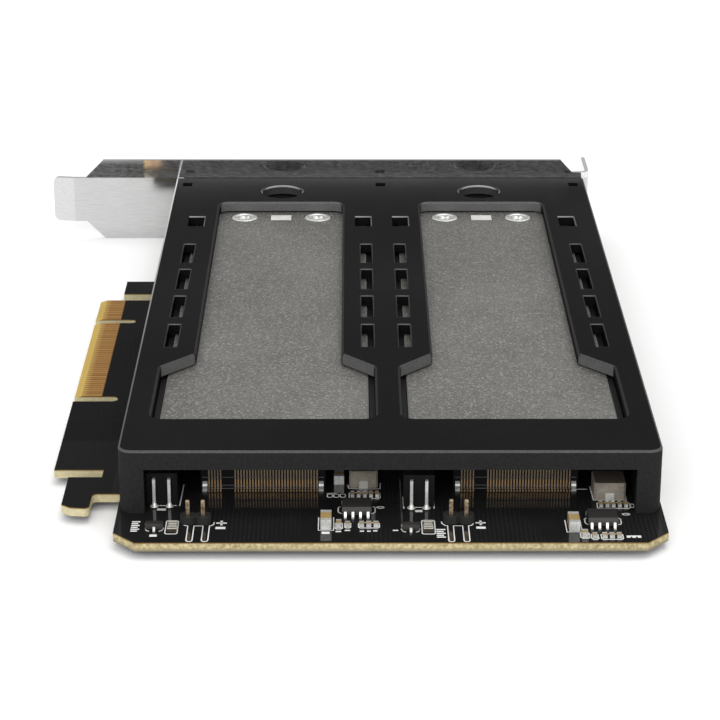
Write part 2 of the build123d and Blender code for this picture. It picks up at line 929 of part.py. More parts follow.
def connector_contacts(bay):
    """The bent contact tails behind the connector, each with its foot on the board."""
    foot = connector_back - tail_foot
    riser = connector_back - tail_thickness
    profile = [
        (connector_back, 0),
        (connector_back, tail_height),
        (riser, tail_height),
        (riser, tail_thickness),
        (foot, tail_thickness),
        (foot, 0),
    ]
    half = tail_width / 2
    return [along_x(profile, bay.middle + x - half, bay.middle + x + half) for x in tail_places()]


def connector_anchors(bay):
    """The soldered anchors at both ends of the connector's back."""
    foot = connector_back - tail_foot
    profile = [
        (connector_back, 0),
        (connector_back, anchor_height),
        (connector_back - anchor_thickness, anchor_height),
        (connector_back - 2 * anchor_thickness, anchor_height / 3),
        (foot, anchor_thickness),
        (foot, 0),
    ]
    half = anchor_width / 2
    middles = (bay.middle - anchor_offset, bay.middle + anchor_offset)
    return [along_x(profile, x - half, x + half) for x in middles]


def power_inductor(bay):
    """The moulded power inductor: a square block with bevelled uprights and top."""
    x, y = bay.place(bay.inductor)
    half = bay.inductor_width / 2
    body = block(x - half, x + half, y - half, y + half, 0, inductor_height)
    body = chamfer(body.edges().filter_by(Axis.Z), inductor_edge)
    return chamfer(body.faces().sort_by(Axis.Z)[-1].edges(), inductor_edge / 2)


def inductor_ends(bay):
    """The folded metal ends on the near and far faces of the inductor."""
    x, y = bay.place(bay.inductor)
    half = bay.inductor_width / 2
    wide = inductor_end_width / 2
    thin = inductor_end_thickness
    near = block(x - wide, x + wide, y - half - thin, y - half, 0, inductor_end_height)
    far = block(x - wide, x + wide, y + half, y + half + thin, 0, inductor_end_height)
    return [near, far]


def gull_leg(y, z, reach, x, width, side):
    """A bent leg that leaves the body at y and z and ends in a flat foot; side is its direction in Y."""
    thin = leg_thickness
    foot = y + side * reach
    heel = foot - side * leg_foot
    knee = y + side * (reach - leg_foot) / 2
    profile = [
        (y, z),
        (knee, z),
        (heel, thin),
        (foot, thin),
        (foot, 0),
        (heel - side * thin / 2, 0),
        (knee - side * thin / 2, z - thin),
        (y, z - thin),
    ]
    return along_x(profile, x - width / 2, x + width / 2)


def moulded_body(x, y, width, depth, low, high, draft):
    """A chip body with drafted near and far faces."""
    half = depth / 2
    waist = (low + high) / 2
    profile = [
        (y - half + draft, low),
        (y + half - draft, low),
        (y + half, waist),
        (y + half - draft, high),
        (y - half + draft, high),
        (y - half, waist),
    ]
    return along_x(profile, x - width / 2, x + width / 2)


def regulator(bay):
    """The body of the regulator, with legs on both long sides."""
    x, y = bay.place(bay.regulator)
    top = leg_standoff + regulator_height
    return moulded_body(x, y, regulator_width, regulator_depth, leg_standoff, top, mould_draft)


def regulator_legs(bay):
    """The legs on both long sides of the regulator."""
    x, y = bay.place(bay.regulator)
    z = leg_standoff + regulator_height / 2
    first = x - (regulator_legs_per_side - 1) * regulator_pitch / 2
    legs = []
    for side in (-1, 1):
        for i in range(regulator_legs_per_side):
            leg_x = first + i * regulator_pitch
            edge = y + side * regulator_depth / 2
            legs.append(gull_leg(edge, z, regulator_leg_reach, leg_x, regulator_leg_width, side))
    return legs


def transistor(bay):
    """The three-legged transistor's body."""
    x, y = bay.place(bay.transistor)
    low = leg_standoff
    high = low + transistor_height
    return moulded_body(x, y, transistor_width, transistor_depth, low, high, mould_draft / 2)


def transistor_legs(bay):
    """One leg on the near side of the transistor and two on the far side."""
    x, y = bay.place(bay.transistor)
    z = leg_standoff + transistor_height / 2
    reach = transistor_leg_reach
    half = transistor_depth / 2
    legs = [gull_leg(y - half, z, reach, x, regulator_leg_width, -1)]
    for side in (-1, 1):
        leg_x = x + side * transistor_pitch
        legs.append(gull_leg(y + half, z, reach, leg_x, regulator_leg_width, 1))
    return legs


def resistor_network(bay):
    """The small resistor network with notches down both long sides."""
    x, y = bay.place(bay.network)
    half = network_width / 2
    near = y - network_length / 2
    body = block(x - half, x + half, near, near + network_length, 0, network_height)
    step = network_length / network_rungs
    notch = network_notch
    for edge in (x - half, x + half):
        for i in range(1, network_rungs):
            middle = near + i * step
            body -= block(edge - notch, edge + notch, middle - notch, middle + notch, 0, network_height)
    return body


def chip_solids(bay, chip):
    """The body of a chip and its two metal ends, lying along Y."""
    x, y = bay.place((chip.x, chip.y))
    cap = chip.width * end_cap_share
    half = chip.width / 2
    near = y - chip.length / 2
    far = y + chip.length / 2
    body = block(x - half, x + half, near + cap, far - cap, 0, chip.height)
    ends = [
        block(x - half, x + half, near, near + cap, 0, chip.height),
        block(x - half, x + half, far - cap, far, 0, chip.height),
    ]
    return body, ends


def bay_chips(bay):
    """All loose chips of a bay, with the row beside the inductor."""
    x, y = bay.row_start
    row = [
        Chip(x + i * row_pitch, y, row_chip.width, row_chip.length, row_chip.height)
        for i in range(row_count)
    ]
    return list(bay.chips) + row


def tall_chip(bay):
    """The tall capacitor's place and size."""
    x, y = bay.capacitor
    return Chip(x, y, capacitor_width, capacitor_length, capacitor_height)


def tall_capacitor(bay):
    """The body of the tall capacitor, between its metal ends."""
    return chip_solids(bay, tall_chip(bay))[0]


def chip_bodies(bay):
    """The bodies of the small chips."""
    return [chip_solids(bay, chip)[0] for chip in bay_chips(bay)]


def chip_ends(bay):
    """The metal ends of the small chips and of the tall capacitor."""
    ends = []
    for chip in bay_chips(bay) + [tall_chip(bay)]:
        ends += chip_solids(bay, chip)[1]
    return ends


def header_base(bay):
    """The pin header's black base, with a notch at each corner and between its two cells."""
    x, y = bay.place(bay.header)
    half = header_depth / 2
    cut = header_corner
    cells = []
    for side in (-1, 1):
        cell_x = x + side * header_pitch / 2
        wide = header_pitch / 2
        outline = Polygon(
            (cell_x - wide, y - half + cut),
            (cell_x - wide + cut, y - half),
            (cell_x + wide - cut, y - half),
            (cell_x + wide, y - half + cut),
            (cell_x + wide, y + half - cut),
            (cell_x + wide - cut, y + half),
            (cell_x - wide + cut, y + half),
            (cell_x - wide, y + half - cut),
            align=None,
        )
        cells.append(outline)
    base = slab(cells[0] + cells[1], 0, header_height)
    for side in (-1, 1):
        pin_half = header_pin / 2 + hole_clearance / 2
        pin_x = x + side * header_pitch / 2
        base -= block(pin_x - pin_half, pin_x + pin_half, y - pin_half, y + pin_half, 0, header_height)
    return base


def header_pins(bay):
    """The two square pins, through the base and the board."""
    x, y = bay.place(bay.header)
    half = header_pin / 2
    low = -board_thickness - pin_tail
    pins = []
    for side in (-1, 1):
        pin_x = x + side * header_pitch / 2
        pin = block(pin_x - half, pin_x + half, y - half, y + half, low, header_pin_height)
        pins.append(chamfer(pin.faces().sort_by(Axis.Z)[-1].edges(), half / 3))
    return pins


def lead_socket(bay):
    """The two-way socket's body, open towards the bracket, standing behind its own tall leads."""
    x, y = bay.place(bay.socket)
    half = socket_width / 2
    near = y + socket_lead_gap
    far = near + socket_depth
    wall = socket_mouth_wall
    back = far - socket_mouth_depth
    body = block(x - half, x + half, near, far, 0, socket_height)
    mouth = block(x - half + wall, x + half - wall, back, far, wall, socket_height - wall)
    return body - mouth


def socket_leads(bay):
    """The tall leads: out of the socket's back, down to the board, and through it."""
    x, y = bay.place(bay.socket)
    half = socket_lead / 2
    near = y + socket_lead_gap
    low = -board_thickness - pin_tail
    leads = []
    for side in (-1, 1):
        lead_x = x + side * header_pitch / 2
        profile = [
            (y - half, low),
            (y + half, low),
            (y + half, socket_lead_height - socket_lead),
            (near, socket_lead_height - socket_lead),
            (near, socket_lead_height),
            (y - half / 2, socket_lead_height),
            (y - half, socket_lead_height - half / 2),
        ]
        leads.append(along_x(profile, lead_x - half, lead_x + half))
    return leads


def save(name, shape):
    """Move a piece into the card's own frame and write it as one STEP file."""
    solids = shape if isinstance(shape, list) else [shape]
    moved = [origin_shift * solid for piece in solids for solid in piece.solids()]
    whole = moved[0] if len(moved) == 1 else Compound(children=moved)
    export_step(whole, f"parts/{name}.step")


card_pieces = {
    "circuit_board": circuit_board,
    "top_edge_contacts": lambda: edge_contacts(0, contact_height),
    "bottom_edge_contacts": lambda: edge_contacts(-board_thickness - contact_height, -board_thickness),
    "slot_bracket": slot_bracket,
    "bracket_screws": bracket_screws,
    "drive_cage": drive_cage,
    "cage_screws": cage_screws,
}
bay_pieces = (
    drive_connector,
    connector_contacts,
    connector_anchors,
    power_inductor,
    inductor_ends,
    regulator,
    regulator_legs,
    transistor,
    transistor_legs,
    resistor_network,
    tall_capacitor,
    chip_bodies,
    chip_ends,
    header_base,
    header_pins,
    lead_socket,
    socket_leads,
    tray_frame,
    tray_lid,
    lid_screws,
    lid_tab,
    thermal_pad,
    drive_post,
    tray_front,
)

os.makedirs("parts", exist_ok=True)
for name, make in card_pieces.items():
    save(name, make())
for bay in bays:
    for make in bay_pieces:
        save(f"{bay.name}_{make.__name__}", make(bay))
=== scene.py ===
"""Dressing for an M.2 drive carrier card: finishes, screws, solder, printed marks and the studio.

Sizes are metres in the card's own frame: +Z out of the component side, +Y towards the slot bracket.
"""

import logging
import math
from dataclasses import dataclass
from enum import Enum
from functools import cached_property, reduce
from typing import Iterable, Sequence

import bmesh
import bpy
from mathutils import Matrix, Vector


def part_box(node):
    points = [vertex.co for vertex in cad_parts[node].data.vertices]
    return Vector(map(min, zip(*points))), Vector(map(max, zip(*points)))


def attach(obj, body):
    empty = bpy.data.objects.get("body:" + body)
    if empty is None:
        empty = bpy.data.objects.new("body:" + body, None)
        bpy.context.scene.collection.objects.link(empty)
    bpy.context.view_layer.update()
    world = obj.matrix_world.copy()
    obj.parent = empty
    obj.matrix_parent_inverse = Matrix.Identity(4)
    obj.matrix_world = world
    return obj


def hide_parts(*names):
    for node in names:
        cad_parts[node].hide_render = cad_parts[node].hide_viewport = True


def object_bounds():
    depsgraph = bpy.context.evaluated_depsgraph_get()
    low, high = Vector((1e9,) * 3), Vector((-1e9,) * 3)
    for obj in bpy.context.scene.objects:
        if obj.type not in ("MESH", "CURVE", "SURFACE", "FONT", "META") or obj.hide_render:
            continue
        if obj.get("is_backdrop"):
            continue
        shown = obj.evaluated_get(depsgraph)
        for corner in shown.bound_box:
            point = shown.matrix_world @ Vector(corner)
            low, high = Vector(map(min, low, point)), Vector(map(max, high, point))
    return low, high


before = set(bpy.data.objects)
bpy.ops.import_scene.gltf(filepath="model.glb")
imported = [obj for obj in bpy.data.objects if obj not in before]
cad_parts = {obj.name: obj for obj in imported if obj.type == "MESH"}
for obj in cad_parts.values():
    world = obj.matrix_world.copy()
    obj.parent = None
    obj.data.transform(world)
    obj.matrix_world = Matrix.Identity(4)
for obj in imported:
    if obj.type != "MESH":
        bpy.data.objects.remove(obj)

log = logging.getLogger("card")
MM = 0.001
Colour = tuple[float, float, float]
Place = tuple[float, float, float]
Point = tuple[float, float]
Range = tuple[float, float]
Material = bpy.types.Material
Mesh = bpy.types.Mesh
Node = bpy.types.Node
Socket = bpy.types.NodeSocket
Thing = bpy.types.Object
Tree = bpy.types.NodeTree


class Body(Enum):
    """The bodies that pieces ride on."""

    CARD = "card"
    LEFT_TRAY = "left_tray"
    RIGHT_TRAY = "right_tray"


class Side(Enum):
    """The two drive bays."""

    LEFT = "left"
    RIGHT = "right"

    @property
    def tray(self) -> Body:
        """The body of the tray in this bay."""
        return Body.LEFT_TRAY if self is Side.LEFT else Body.RIGHT_TRAY

    @property
    def middle(self) -> float:
        """The bay's middle across the card."""
        low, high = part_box(self.node("tray_lid"))
        return (low.x + high.x) / 2

    def node(self, piece: str) -> str:
        """The name of this bay's copy of a piece."""
        return f"{self.value}_{piece}"


class Graph:
    """Adds nodes to a shader or geometry tree and links them."""

    def __init__(self, tree: Tree) -> None:
        """Keep the tree that the nodes go into."""
        self.tree = tree

    def link(self, value: object, socket: Socket) -> None:
        """Link an input, or set it.

        Args:
            value: The socket to link, or the value to set.
            socket: The input.
        """
        if isinstance(value, Socket):
            self.tree.links.new(value, socket)
        elif socket.type == "RGBA":
            socket.default_value = (*value, 1.0)
        else:
            socket.default_value = value

    def add(self, kind: str, values: dict | None = None, **settings: object) -> Node:
        """Add one node.

        Args:
            kind: The node's type.
            values: For each input, a socket to link or a value to set.
            settings: Properties of the node.

        Returns:
            The new node.
        """
        node = self.tree.nodes.new(kind)
        for name, value in settings.items():
            setattr(node, name, value)
        for name, value in (values or {}).items():
            self.link(value, node.inputs[name])
        return node

    def calc(self, operation: str, first: object, second: object = 0.0) -> Socket:
        """The result of a Math node on sockets or numbers."""
        return self.add("ShaderNodeMath", {0: first, 1: second}, operation=operation).outputs[0]

    def times(self, *parts: object) -> Socket:
        """The product of sockets or numbers."""
        return reduce(lambda first, second: self.calc("MULTIPLY", first, second), parts)

    def flip(self, share: Socket) -> Socket:
        """What a share leaves of 1."""
        return self.calc("SUBTRACT", 1.0, share)

    def away(self, value: Socket, middle: float) -> Socket:
        """How far a value is from a middle."""
        return self.calc("ABSOLUTE", self.calc("SUBTRACT", value, middle))

    def below(self, value: Socket, limit: float) -> Socket:
        """A mask for the values below a limit."""
        return self.calc("LESS_THAN", value, limit)

    def beyond(self, value: Socket, limit: float) -> Socket:
        """A mask for the values beyond a limit."""
        return self.calc("GREATER_THAN", value, limit)

    def weigh(self, share: float, first: Socket, second: Socket) -> Socket:
        """The sum of a share of one value and the rest of another."""
        return self.calc("ADD", self.times(first, share), self.times(second, 1 - share))

    def ramp(self, value: Socket, low: float, high: float, start: float = 0.0, end: float = 1.0) -> Socket:
        """Map the range from low to high to the range from start to end, clamped."""
        values = {"Value": value, "From Min": low, "From Max": high, "To Min": start, "To Max": end}
        return self.add("ShaderNodeMapRange", values, clamp=True).outputs["Result"]

    def step(self, value: Socket, middle: float, half: float) -> Socket:
        """A soft step up at a middle, or down if its half width is negative."""
        return self.ramp(value, middle - half, middle + half)

    def between(self, share: Socket, ends: Range) -> Socket:
        """Map a share of 0 to 1 to the range between two ends."""
        return self.ramp(share, 0.0, 1.0, *ends)

    def blend(self, share: object, first: object, second: object) -> Socket:
        """Mix two colours by the second one's share."""
        return self.add("ShaderNodeMix", {0: share, 6: first, 7: second}, data_type="RGBA").outputs[2]

    def scale(self, colour: Socket, gain: Socket) -> Socket:
        """Make a colour brighter or darker."""
        return self.add("ShaderNodeVectorMath", {0: colour, "Scale": gain}, operation="SCALE").outputs[0]

    def noise(self, vector: Socket, size: object, detail: float, roughness: float = 0.5) -> Socket:
        """A noise value of 0 to 1."""
        values = {"Vector": vector, "Scale": size, "Detail": detail, "Roughness": roughness}
        return self.add("ShaderNodeTexNoise", values).outputs["Fac"]

    @cached_property
    def spot(self) -> Socket:
        """The object coordinates."""
        return self.add("ShaderNodeTexCoord").outputs["Object"]

    @cached_property
    def axes(self) -> tuple[Socket, ...]:
        """The object coordinates along X, Y and Z."""
        return tuple(self.add("ShaderNodeSeparateXYZ", {0: self.spot}).outputs)


class Group(Graph):
    """A node group with named sockets."""

    def __init__(self, name: str, kind: str, inputs: dict[str, str], outputs: dict[str, str]) -> None:
        """Start the group.

        Args:
            name: The group's name.
            kind: Shader or Geometry.
            inputs: For each input, the kind of its socket.
            outputs: For each output, the kind of its socket.
        """
        super().__init__(bpy.data.node_groups.new(name, f"{kind}NodeTree"))
        for way, sockets in (("INPUT", inputs), ("OUTPUT", outputs)):
            for label, socket in sockets.items():
                self.tree.interface.new_socket(label, in_out=way, socket_type=f"NodeSocket{socket}")
        self.given = self.add("NodeGroupInput").outputs
        self.taken = self.add("NodeGroupOutput").inputs

    def close(self, *values: Socket) -> Tree:
        """Link the group's outputs.

        Args:
            values: Their values in order.

        Returns:
            The finished tree.
        """
        for value, socket in zip(values, self.taken):
            self.link(value, socket)
        return self.tree


@dataclass
class Effects:
    """The shader groups that several finishes share, each built once.

    A noise pair is its detail and roughness. The other pairs are the values that become 0 and 1.
    """

    fine_noise: Range = (2.0, 0.6)
    fine_range: Range = (0.25, 0.75)
    soft_noise: Range = (3.0, 0.55)
    soft_range: Range = (0.3, 0.7)
    line_noise: Range = (4.0, 0.65)
    level: Range = (0.93, 0.99)
    upright: Range = (0.3, 0.1)
    nearward: Range = (-0.35, -0.6)
    raised: Range = (0.5, 0.8)
    farward: Range = (0.6, 0.9)

    def __post_init__(self) -> None:
        """Build the groups."""
        self.grain = self._grain()
        self.brush = self._brush()
        self.faces = self._faces()

    def _grain(self) -> Tree:
        """A fine, even grain, with soft blotches over it.

        Returns:
            The group, with a grain value and a blotch value.
        """
        inputs = dict.fromkeys(("Grain per metre", "Blotches per metre"), "Float")
        group = Group("surface_grain", "Shader", inputs, dict.fromkeys(("Grain", "Blotch"), "Float"))
        fine = group.noise(group.spot, group.given[0], *self.fine_noise)
        soft = group.noise(group.spot, group.given[1], *self.soft_noise)
        return group.close(group.ramp(fine, *self.fine_range), group.ramp(soft, *self.soft_range))

    def _brush(self) -> Tree:
        """Long brush lines that run along X.

        Returns:
            The group, with a line value.
        """
        inputs = dict.fromkeys(("Lines per metre", "Stretch"), "Float")
        group = Group("brushed_lines", "Shader", inputs, {"Lines": "Float"})
        x, y, z = group.axes
        vector = group.add("ShaderNodeCombineXYZ", {0: group.times(x, group.given[1]), 1: y, 2: z})
        lines = group.noise(vector.outputs[0], group.given[0], *self.line_noise)
        return group.close(group.ramp(lines, *self.soft_range))

    def _faces(self) -> Tree:
        """Masks for the ways that a face can look, from its own normal.

        Returns:
            The group, with a mask for each way.
        """
        labels = ("Level", "Slanting", "Upright", "Across", "Nearward", "Raised", "Farward")
        group = Group("face_masks", "Shader", {}, dict.fromkeys(labels, "Float"))
        normal = group.add("ShaderNodeTexCoord").outputs["Normal"]
        x, y, z = group.add("ShaderNodeSeparateXYZ", {0: normal}).outputs
        rise, across = group.calc("ABSOLUTE", z), group.calc("ABSOLUTE", x)
        level, upright = group.ramp(rise, *self.level), group.ramp(rise, *self.upright)
        slanting = group.calc("MAXIMUM", group.calc("SUBTRACT", group.flip(level), upright), 0.0)
        nearward, farward = group.ramp(y, *self.nearward), group.ramp(y, *self.farward)
        raised = group.ramp(z, *self.raised)
        return group.close(level, slanting, upright, across, nearward, raised, farward)


effects = Effects()


class Look(Graph):
    """A new material's graph, with its Principled shader."""

    def __init__(self, name: str) -> None:
        """Start the material.

        Args:
            name: The material's name.
        """
        self.material = bpy.data.materials.new(name)
        self.material.use_nodes = True
        super().__init__(self.material.node_tree)

    def shade(self, **values: object) -> None:
        """Link or set the shader's inputs.

        Args:
            values: For each input's name, with underscores for spaces, a socket or a value.
        """
        for name, value in values.items():
            self.link(value, self.tree.nodes["Principled BSDF"].inputs[name.replace("_", " ")])

    def relief(self, height: Socket, depth: float) -> None:
        """Give the shader a bump, with the depth in metres that a height of 1 stands for."""
        bump = self.add("ShaderNodeBump", {"Height": height, "Distance": depth, "Strength": 1.0})
        self.shade(Normal=bump.outputs["Normal"])

    def use(self, group: Tree, *values: object) -> tuple[Socket, ...]:
        """Place a shared group.

        Args:
            group: The group.
            values: Its inputs in order.

        Returns:
            Its outputs.
        """
        node = self.add("ShaderNodeGroup", node_tree=group)
        for value, socket in zip(values, node.inputs):
            self.link(value, socket)
        return tuple(node.outputs)

    @cached_property
    def faces(self) -> dict[str, Socket]:
        """The masks for the ways that a face can look, by name."""
        return {socket.name: socket for socket in self.use(effects.faces)}


def scaled(colour: Colour, gain: float) -> Colour:
    """A colour made brighter or darker."""
    return tuple(part * gain for part in colour)


class Finish:
    """A material that a frozen dataclass describes."""

    name: str

    def paint(self, look: Look) -> None:
        """Set the shader, as each finish does in its own way."""
        raise NotImplementedError

    def build(self) -> Material:
        """Make the material.

        Returns:
            The finished material.
        """
        look = Look(self.name)
        self.paint(look)
        return look.material


@dataclass(frozen=True)
class MouldedBlack(Finish):
    """Fine-grained moulded plastic, smoother on its slanting edges, which are lighter as a painted highlight.
    """

    name: str
    base: Colour
    # The edge colour on slanting faces is a painted highlight.
    edge: Colour
    roughness: float = 0.55
    grain: float = 3500.0
    blotches: float = 25.0
    depth: float = 0.02 * MM
    shine: float = 0.1
    hollow_gain: float = 0.72
    cloud_gain: float = 1.4
    cloud_share: float = 0.25
    rough_spread: float = 0.05
    edge_polish: float = 0.2

    def paint(self, look: Look) -> None:
        """Set the shader.

        Args:
            look: The material's graph.
        """
        grain, blotch = look.use(effects.grain, self.grain, self.blotches)
        dark, pale = scaled(self.base, self.hollow_gain), scaled(self.base, self.cloud_gain)
        clouded = look.blend(look.times(blotch, self.cloud_share), look.blend(grain, dark, self.base), pale)
        rough = look.between(blotch, (self.roughness - self.rough_spread, self.roughness + self.rough_spread))
        # Painted highlight: slanting faces take the lighter edge colour.
        slanting = look.faces["Slanting"]
        look.shade(
            Base_Color=look.blend(slanting, clouded, self.edge),
            Roughness=look.calc("SUBTRACT", rough, look.times(slanting, self.edge_polish)),
            Specular_IOR_Level=self.shine,
        )
        look.relief(grain, self.depth)


@dataclass(frozen=True)
class CageBlack(Finish):
    """The cage's satin black, with painted highlights on its outer edges and painted light on the near faces
    of the window walls.
    """

    low: Vector
    high: Vector
    roof: float
    bay_middles: tuple[float, ...]
    name: str = "cage_satin_black"
    top: Colour = (0.0066, 0.0066, 0.0067)
    # Painted light: the outer upright faces are lighter than the top and the inner faces.
    front: Colour = (0.0218, 0.0218, 0.0222)
    hollow: Colour = (0.0085, 0.0085, 0.0085)
    # Painted light on the near faces of the window walls.
    lit_wall: Colour = (0.118, 0.118, 0.117)
    # Painted highlights on the bevels and on the outer edges, brightest towards the far end of the left edge.
    side_bevel_highlight: Colour = (0.032, 0.032, 0.032)
    near_bevel_highlight: Colour = (0.11, 0.11, 0.11)
    outer_edge_highlight: Colour = (0.082, 0.082, 0.079)
    far_left_highlight: Colour = (0.75, 0.75, 0.74)
    # Painted light on the walls of the round holes.
    lit_hole_wall: Colour = (0.055, 0.055, 0.054)
    hole_offset: float = 10.0 * MM
    hole_reach: float = 5.2 * MM
    margin: float = 1.6 * MM
    # Painted sheen: the top turns paler over this depth at its far end.
    far_sheen_depth: float = 10.0 * MM
    far_sheen_gain: float = 6.3
    far_margin: float = 16.5 * MM
    window_reach: float = 13.6 * MM
    shoulder: float = 44.5 * MM
    far_sheen_power: float = 2.5
    far_left_power: float = 2.0
    roof_blur: float = 0.1 * MM
    grain: float = 3200.0
    blotches: float = 25.0
    dust: Range = (0.75, 1.25)
    rough: Range = (0.42, 0.52)
    shine: float = 0.01
    depth: float = 0.02 * MM

    def _inside(self, look: Look) -> Socket:
        """A mask for what lies inside the cage's outer margin.

        Args:
            look: The material's graph.

        Returns:
            The mask.
        """
        x, y, _ = look.axes
        half = (self.high.x - self.low.x) / 2 - self.margin
        across = look.below(look.away(x, (self.low.x + self.high.x) / 2), half)
        return look.times(across, look.beyond(y, self.low.y + self.margin))

    def _windows(self, look: Look) -> Socket:
        """A mask for the zone of the windows' walls, which leaves out the vents and the round holes.

        Args:
            look: The material's graph.

        Returns:
            The mask.
        """
        x, y, _ = look.axes
        zone = look.below(y, self.low.y + self.shoulder)
        for middle in self.bay_middles:
            zone = look.calc("MAXIMUM", zone, look.below(look.away(x, middle), self.window_reach))
        return look.times(zone, look.below(y, self.high.y - self.far_margin))

    def _holes(self, look: Look) -> Socket:
        """A mask for the walls of the round holes.

        Args:
            look: The material's graph.

        Returns:
            The mask.
        """
        x, y, _ = look.axes
        along = look.away(y, self.high.y - self.hole_offset)
        across = look.calc("MINIMUM", *(look.away(x, middle) for middle in self.bay_middles))
        return look.times(look.below(along, self.hole_reach), look.below(across, self.hole_reach))

    def paint(self, look: Look) -> None:
        """Set the shader.

        Args:
            look: The material's graph.
        """
        grain, blotch = look.use(effects.grain, self.grain, self.blotches)
        x, y, z = look.axes
        upright, nearward = look.faces["Upright"], look.faces["Nearward"]
        inside = self._inside(look)
        # Painted sheen: the top grows paler towards its far end.
        rise = look.calc("POWER", look.ramp(y, self.high.y - self.far_sheen_depth, self.high.y), self.far_sheen_power)
        top = look.blend(rise, self.top, scaled(self.top, self.far_sheen_gain))
        # Painted light: the outer upright faces are lighter than the top and the inner faces.
        front_lit_faces = look.blend(upright, top, look.blend(inside, self.front, self.hollow))
        in_roof = look.step(z, self.roof, self.roof_blur)
        # Painted light on the near faces of the window walls and on the walls of the round holes.
        with_lit_walls = look.blend(look.times(inside, nearward, self._windows(look), in_roof), front_lit_faces, self.lit_wall)
        with_lit_holes = look.blend(look.times(self._holes(look), upright, in_roof), with_lit_walls, self.lit_hole_wall)
        # Painted highlights on the slanting faces: the bevels, the outer edges and, brightest, the far end of
        # the left edge.
        bevel = look.blend(nearward, self.side_bevel_highlight, self.near_bevel_highlight)
        leftward = look.below(x, self.low.x + self.margin)
        far_left = look.times(look.ramp(y, self.low.y, self.high.y), leftward)
        far_left_share = look.calc("POWER", far_left, self.far_left_power)
        edge = look.blend(inside, look.blend(far_left_share, self.outer_edge_highlight, self.far_left_highlight), bevel)
        with_highlights = look.blend(look.faces["Slanting"], with_lit_holes, edge)
        look.shade(
            Base_Color=look.scale(with_highlights, look.between(grain, self.dust)),
            Roughness=look.between(blotch, self.rough),
            Specular_IOR_Level=self.shine,
        )
        look.relief(grain, self.depth)


@dataclass(frozen=True)
class PaintedHighlightRim(Finish):
    """The cage's black on a thin rounded rim, painted lighter as a highlight and paler still where the rim
    faces the near side.
    """

    name: str
    base: Colour
    near_highlight: Colour
    grain: float = 3200.0
    blotches: float = 160.0
    # How much the blotches break up the painted highlight.
    wear_and_highlight_spread: Range = (0.7, 1.0)
    rough: Range = (0.35, 0.45)
    shine: float = 0.03
    depth: float = 0.01 * MM

    def paint(self, look: Look) -> None:
        """Set the shader.

        Args:
            look: The material's graph.
        """
        grain, blotch = look.use(effects.grain, self.grain, self.blotches)
        # Painted highlight where the rim faces the near side, broken up by blotches.
        share = look.times(look.faces["Nearward"], look.between(blotch, self.wear_and_highlight_spread))
        look.shade(
            Base_Color=look.blend(share, self.base, self.near_highlight),
            Roughness=look.between(grain, self.rough),
            Specular_IOR_Level=self.shine,
        )
        look.relief(grain, self.depth)


@dataclass(frozen=True)
class SandedLid(Finish):
    """Sand-blasted grey metal with light and dark specks, a painted rim highlight, and a little painted shade
    towards its far end.
    """

    name: str = "lid_sanded_grey"
    base: Colour = (0.16, 0.155, 0.144)
    dark: Colour = (0.068, 0.066, 0.061)
    light: Colour = (0.36, 0.35, 0.33)
    # Painted highlight on the slanting rim.
    rim: Colour = (0.34, 0.33, 0.31)
    specks: float = 2400.0
    blotches: float = 60.0
    sparks_per_speck: float = 1.3
    spark_range: Range = (0.6, 0.95)
    spark_share: float = 0.7
    cloud_share: float = 0.15
    # Painted shade darkens the lid from here towards its far end.
    fade_start: float = -30.0 * MM
    fade_end: float = 40.0 * MM
    far_shade_gain: float = 0.89
    rough: Range = (0.62, 0.48)
    metallic: float = 0.35
    shine: float = 0.2
    depth: float = 0.05 * MM

    def paint(self, look: Look) -> None:
        """Set the shader.

        Args:
            look: The material's graph.
        """
        grain, blotch = look.use(effects.grain, self.specks, self.blotches)
        # Painted shade: the lid darkens towards its far end.
        fade = look.ramp(look.axes[1], self.fade_start, self.fade_end, 1.0, self.far_shade_gain)
        values = {"Vector": look.spot, "Scale": self.specks * self.sparks_per_speck, "Randomness": 1.0}
        sparks = look.ramp(look.add("ShaderNodeTexVoronoi", values).outputs["Color"], *self.spark_range)
        mottled = look.blend(grain, self.dark, self.base)
        speckled = look.blend(look.times(sparks, self.spark_share), mottled, self.light)
        clouded = look.blend(look.times(blotch, self.cloud_share), speckled, self.light)
        # The rim colour on slanting faces is a painted highlight.
        look.shade(
            Base_Color=look.blend(look.faces["Slanting"], look.scale(clouded, fade), self.rim),
            Roughness=look.between(grain, self.rough),
            Metallic=self.metallic,
            Specular_IOR_Level=self.shine,
        )
        look.relief(grain, self.depth)


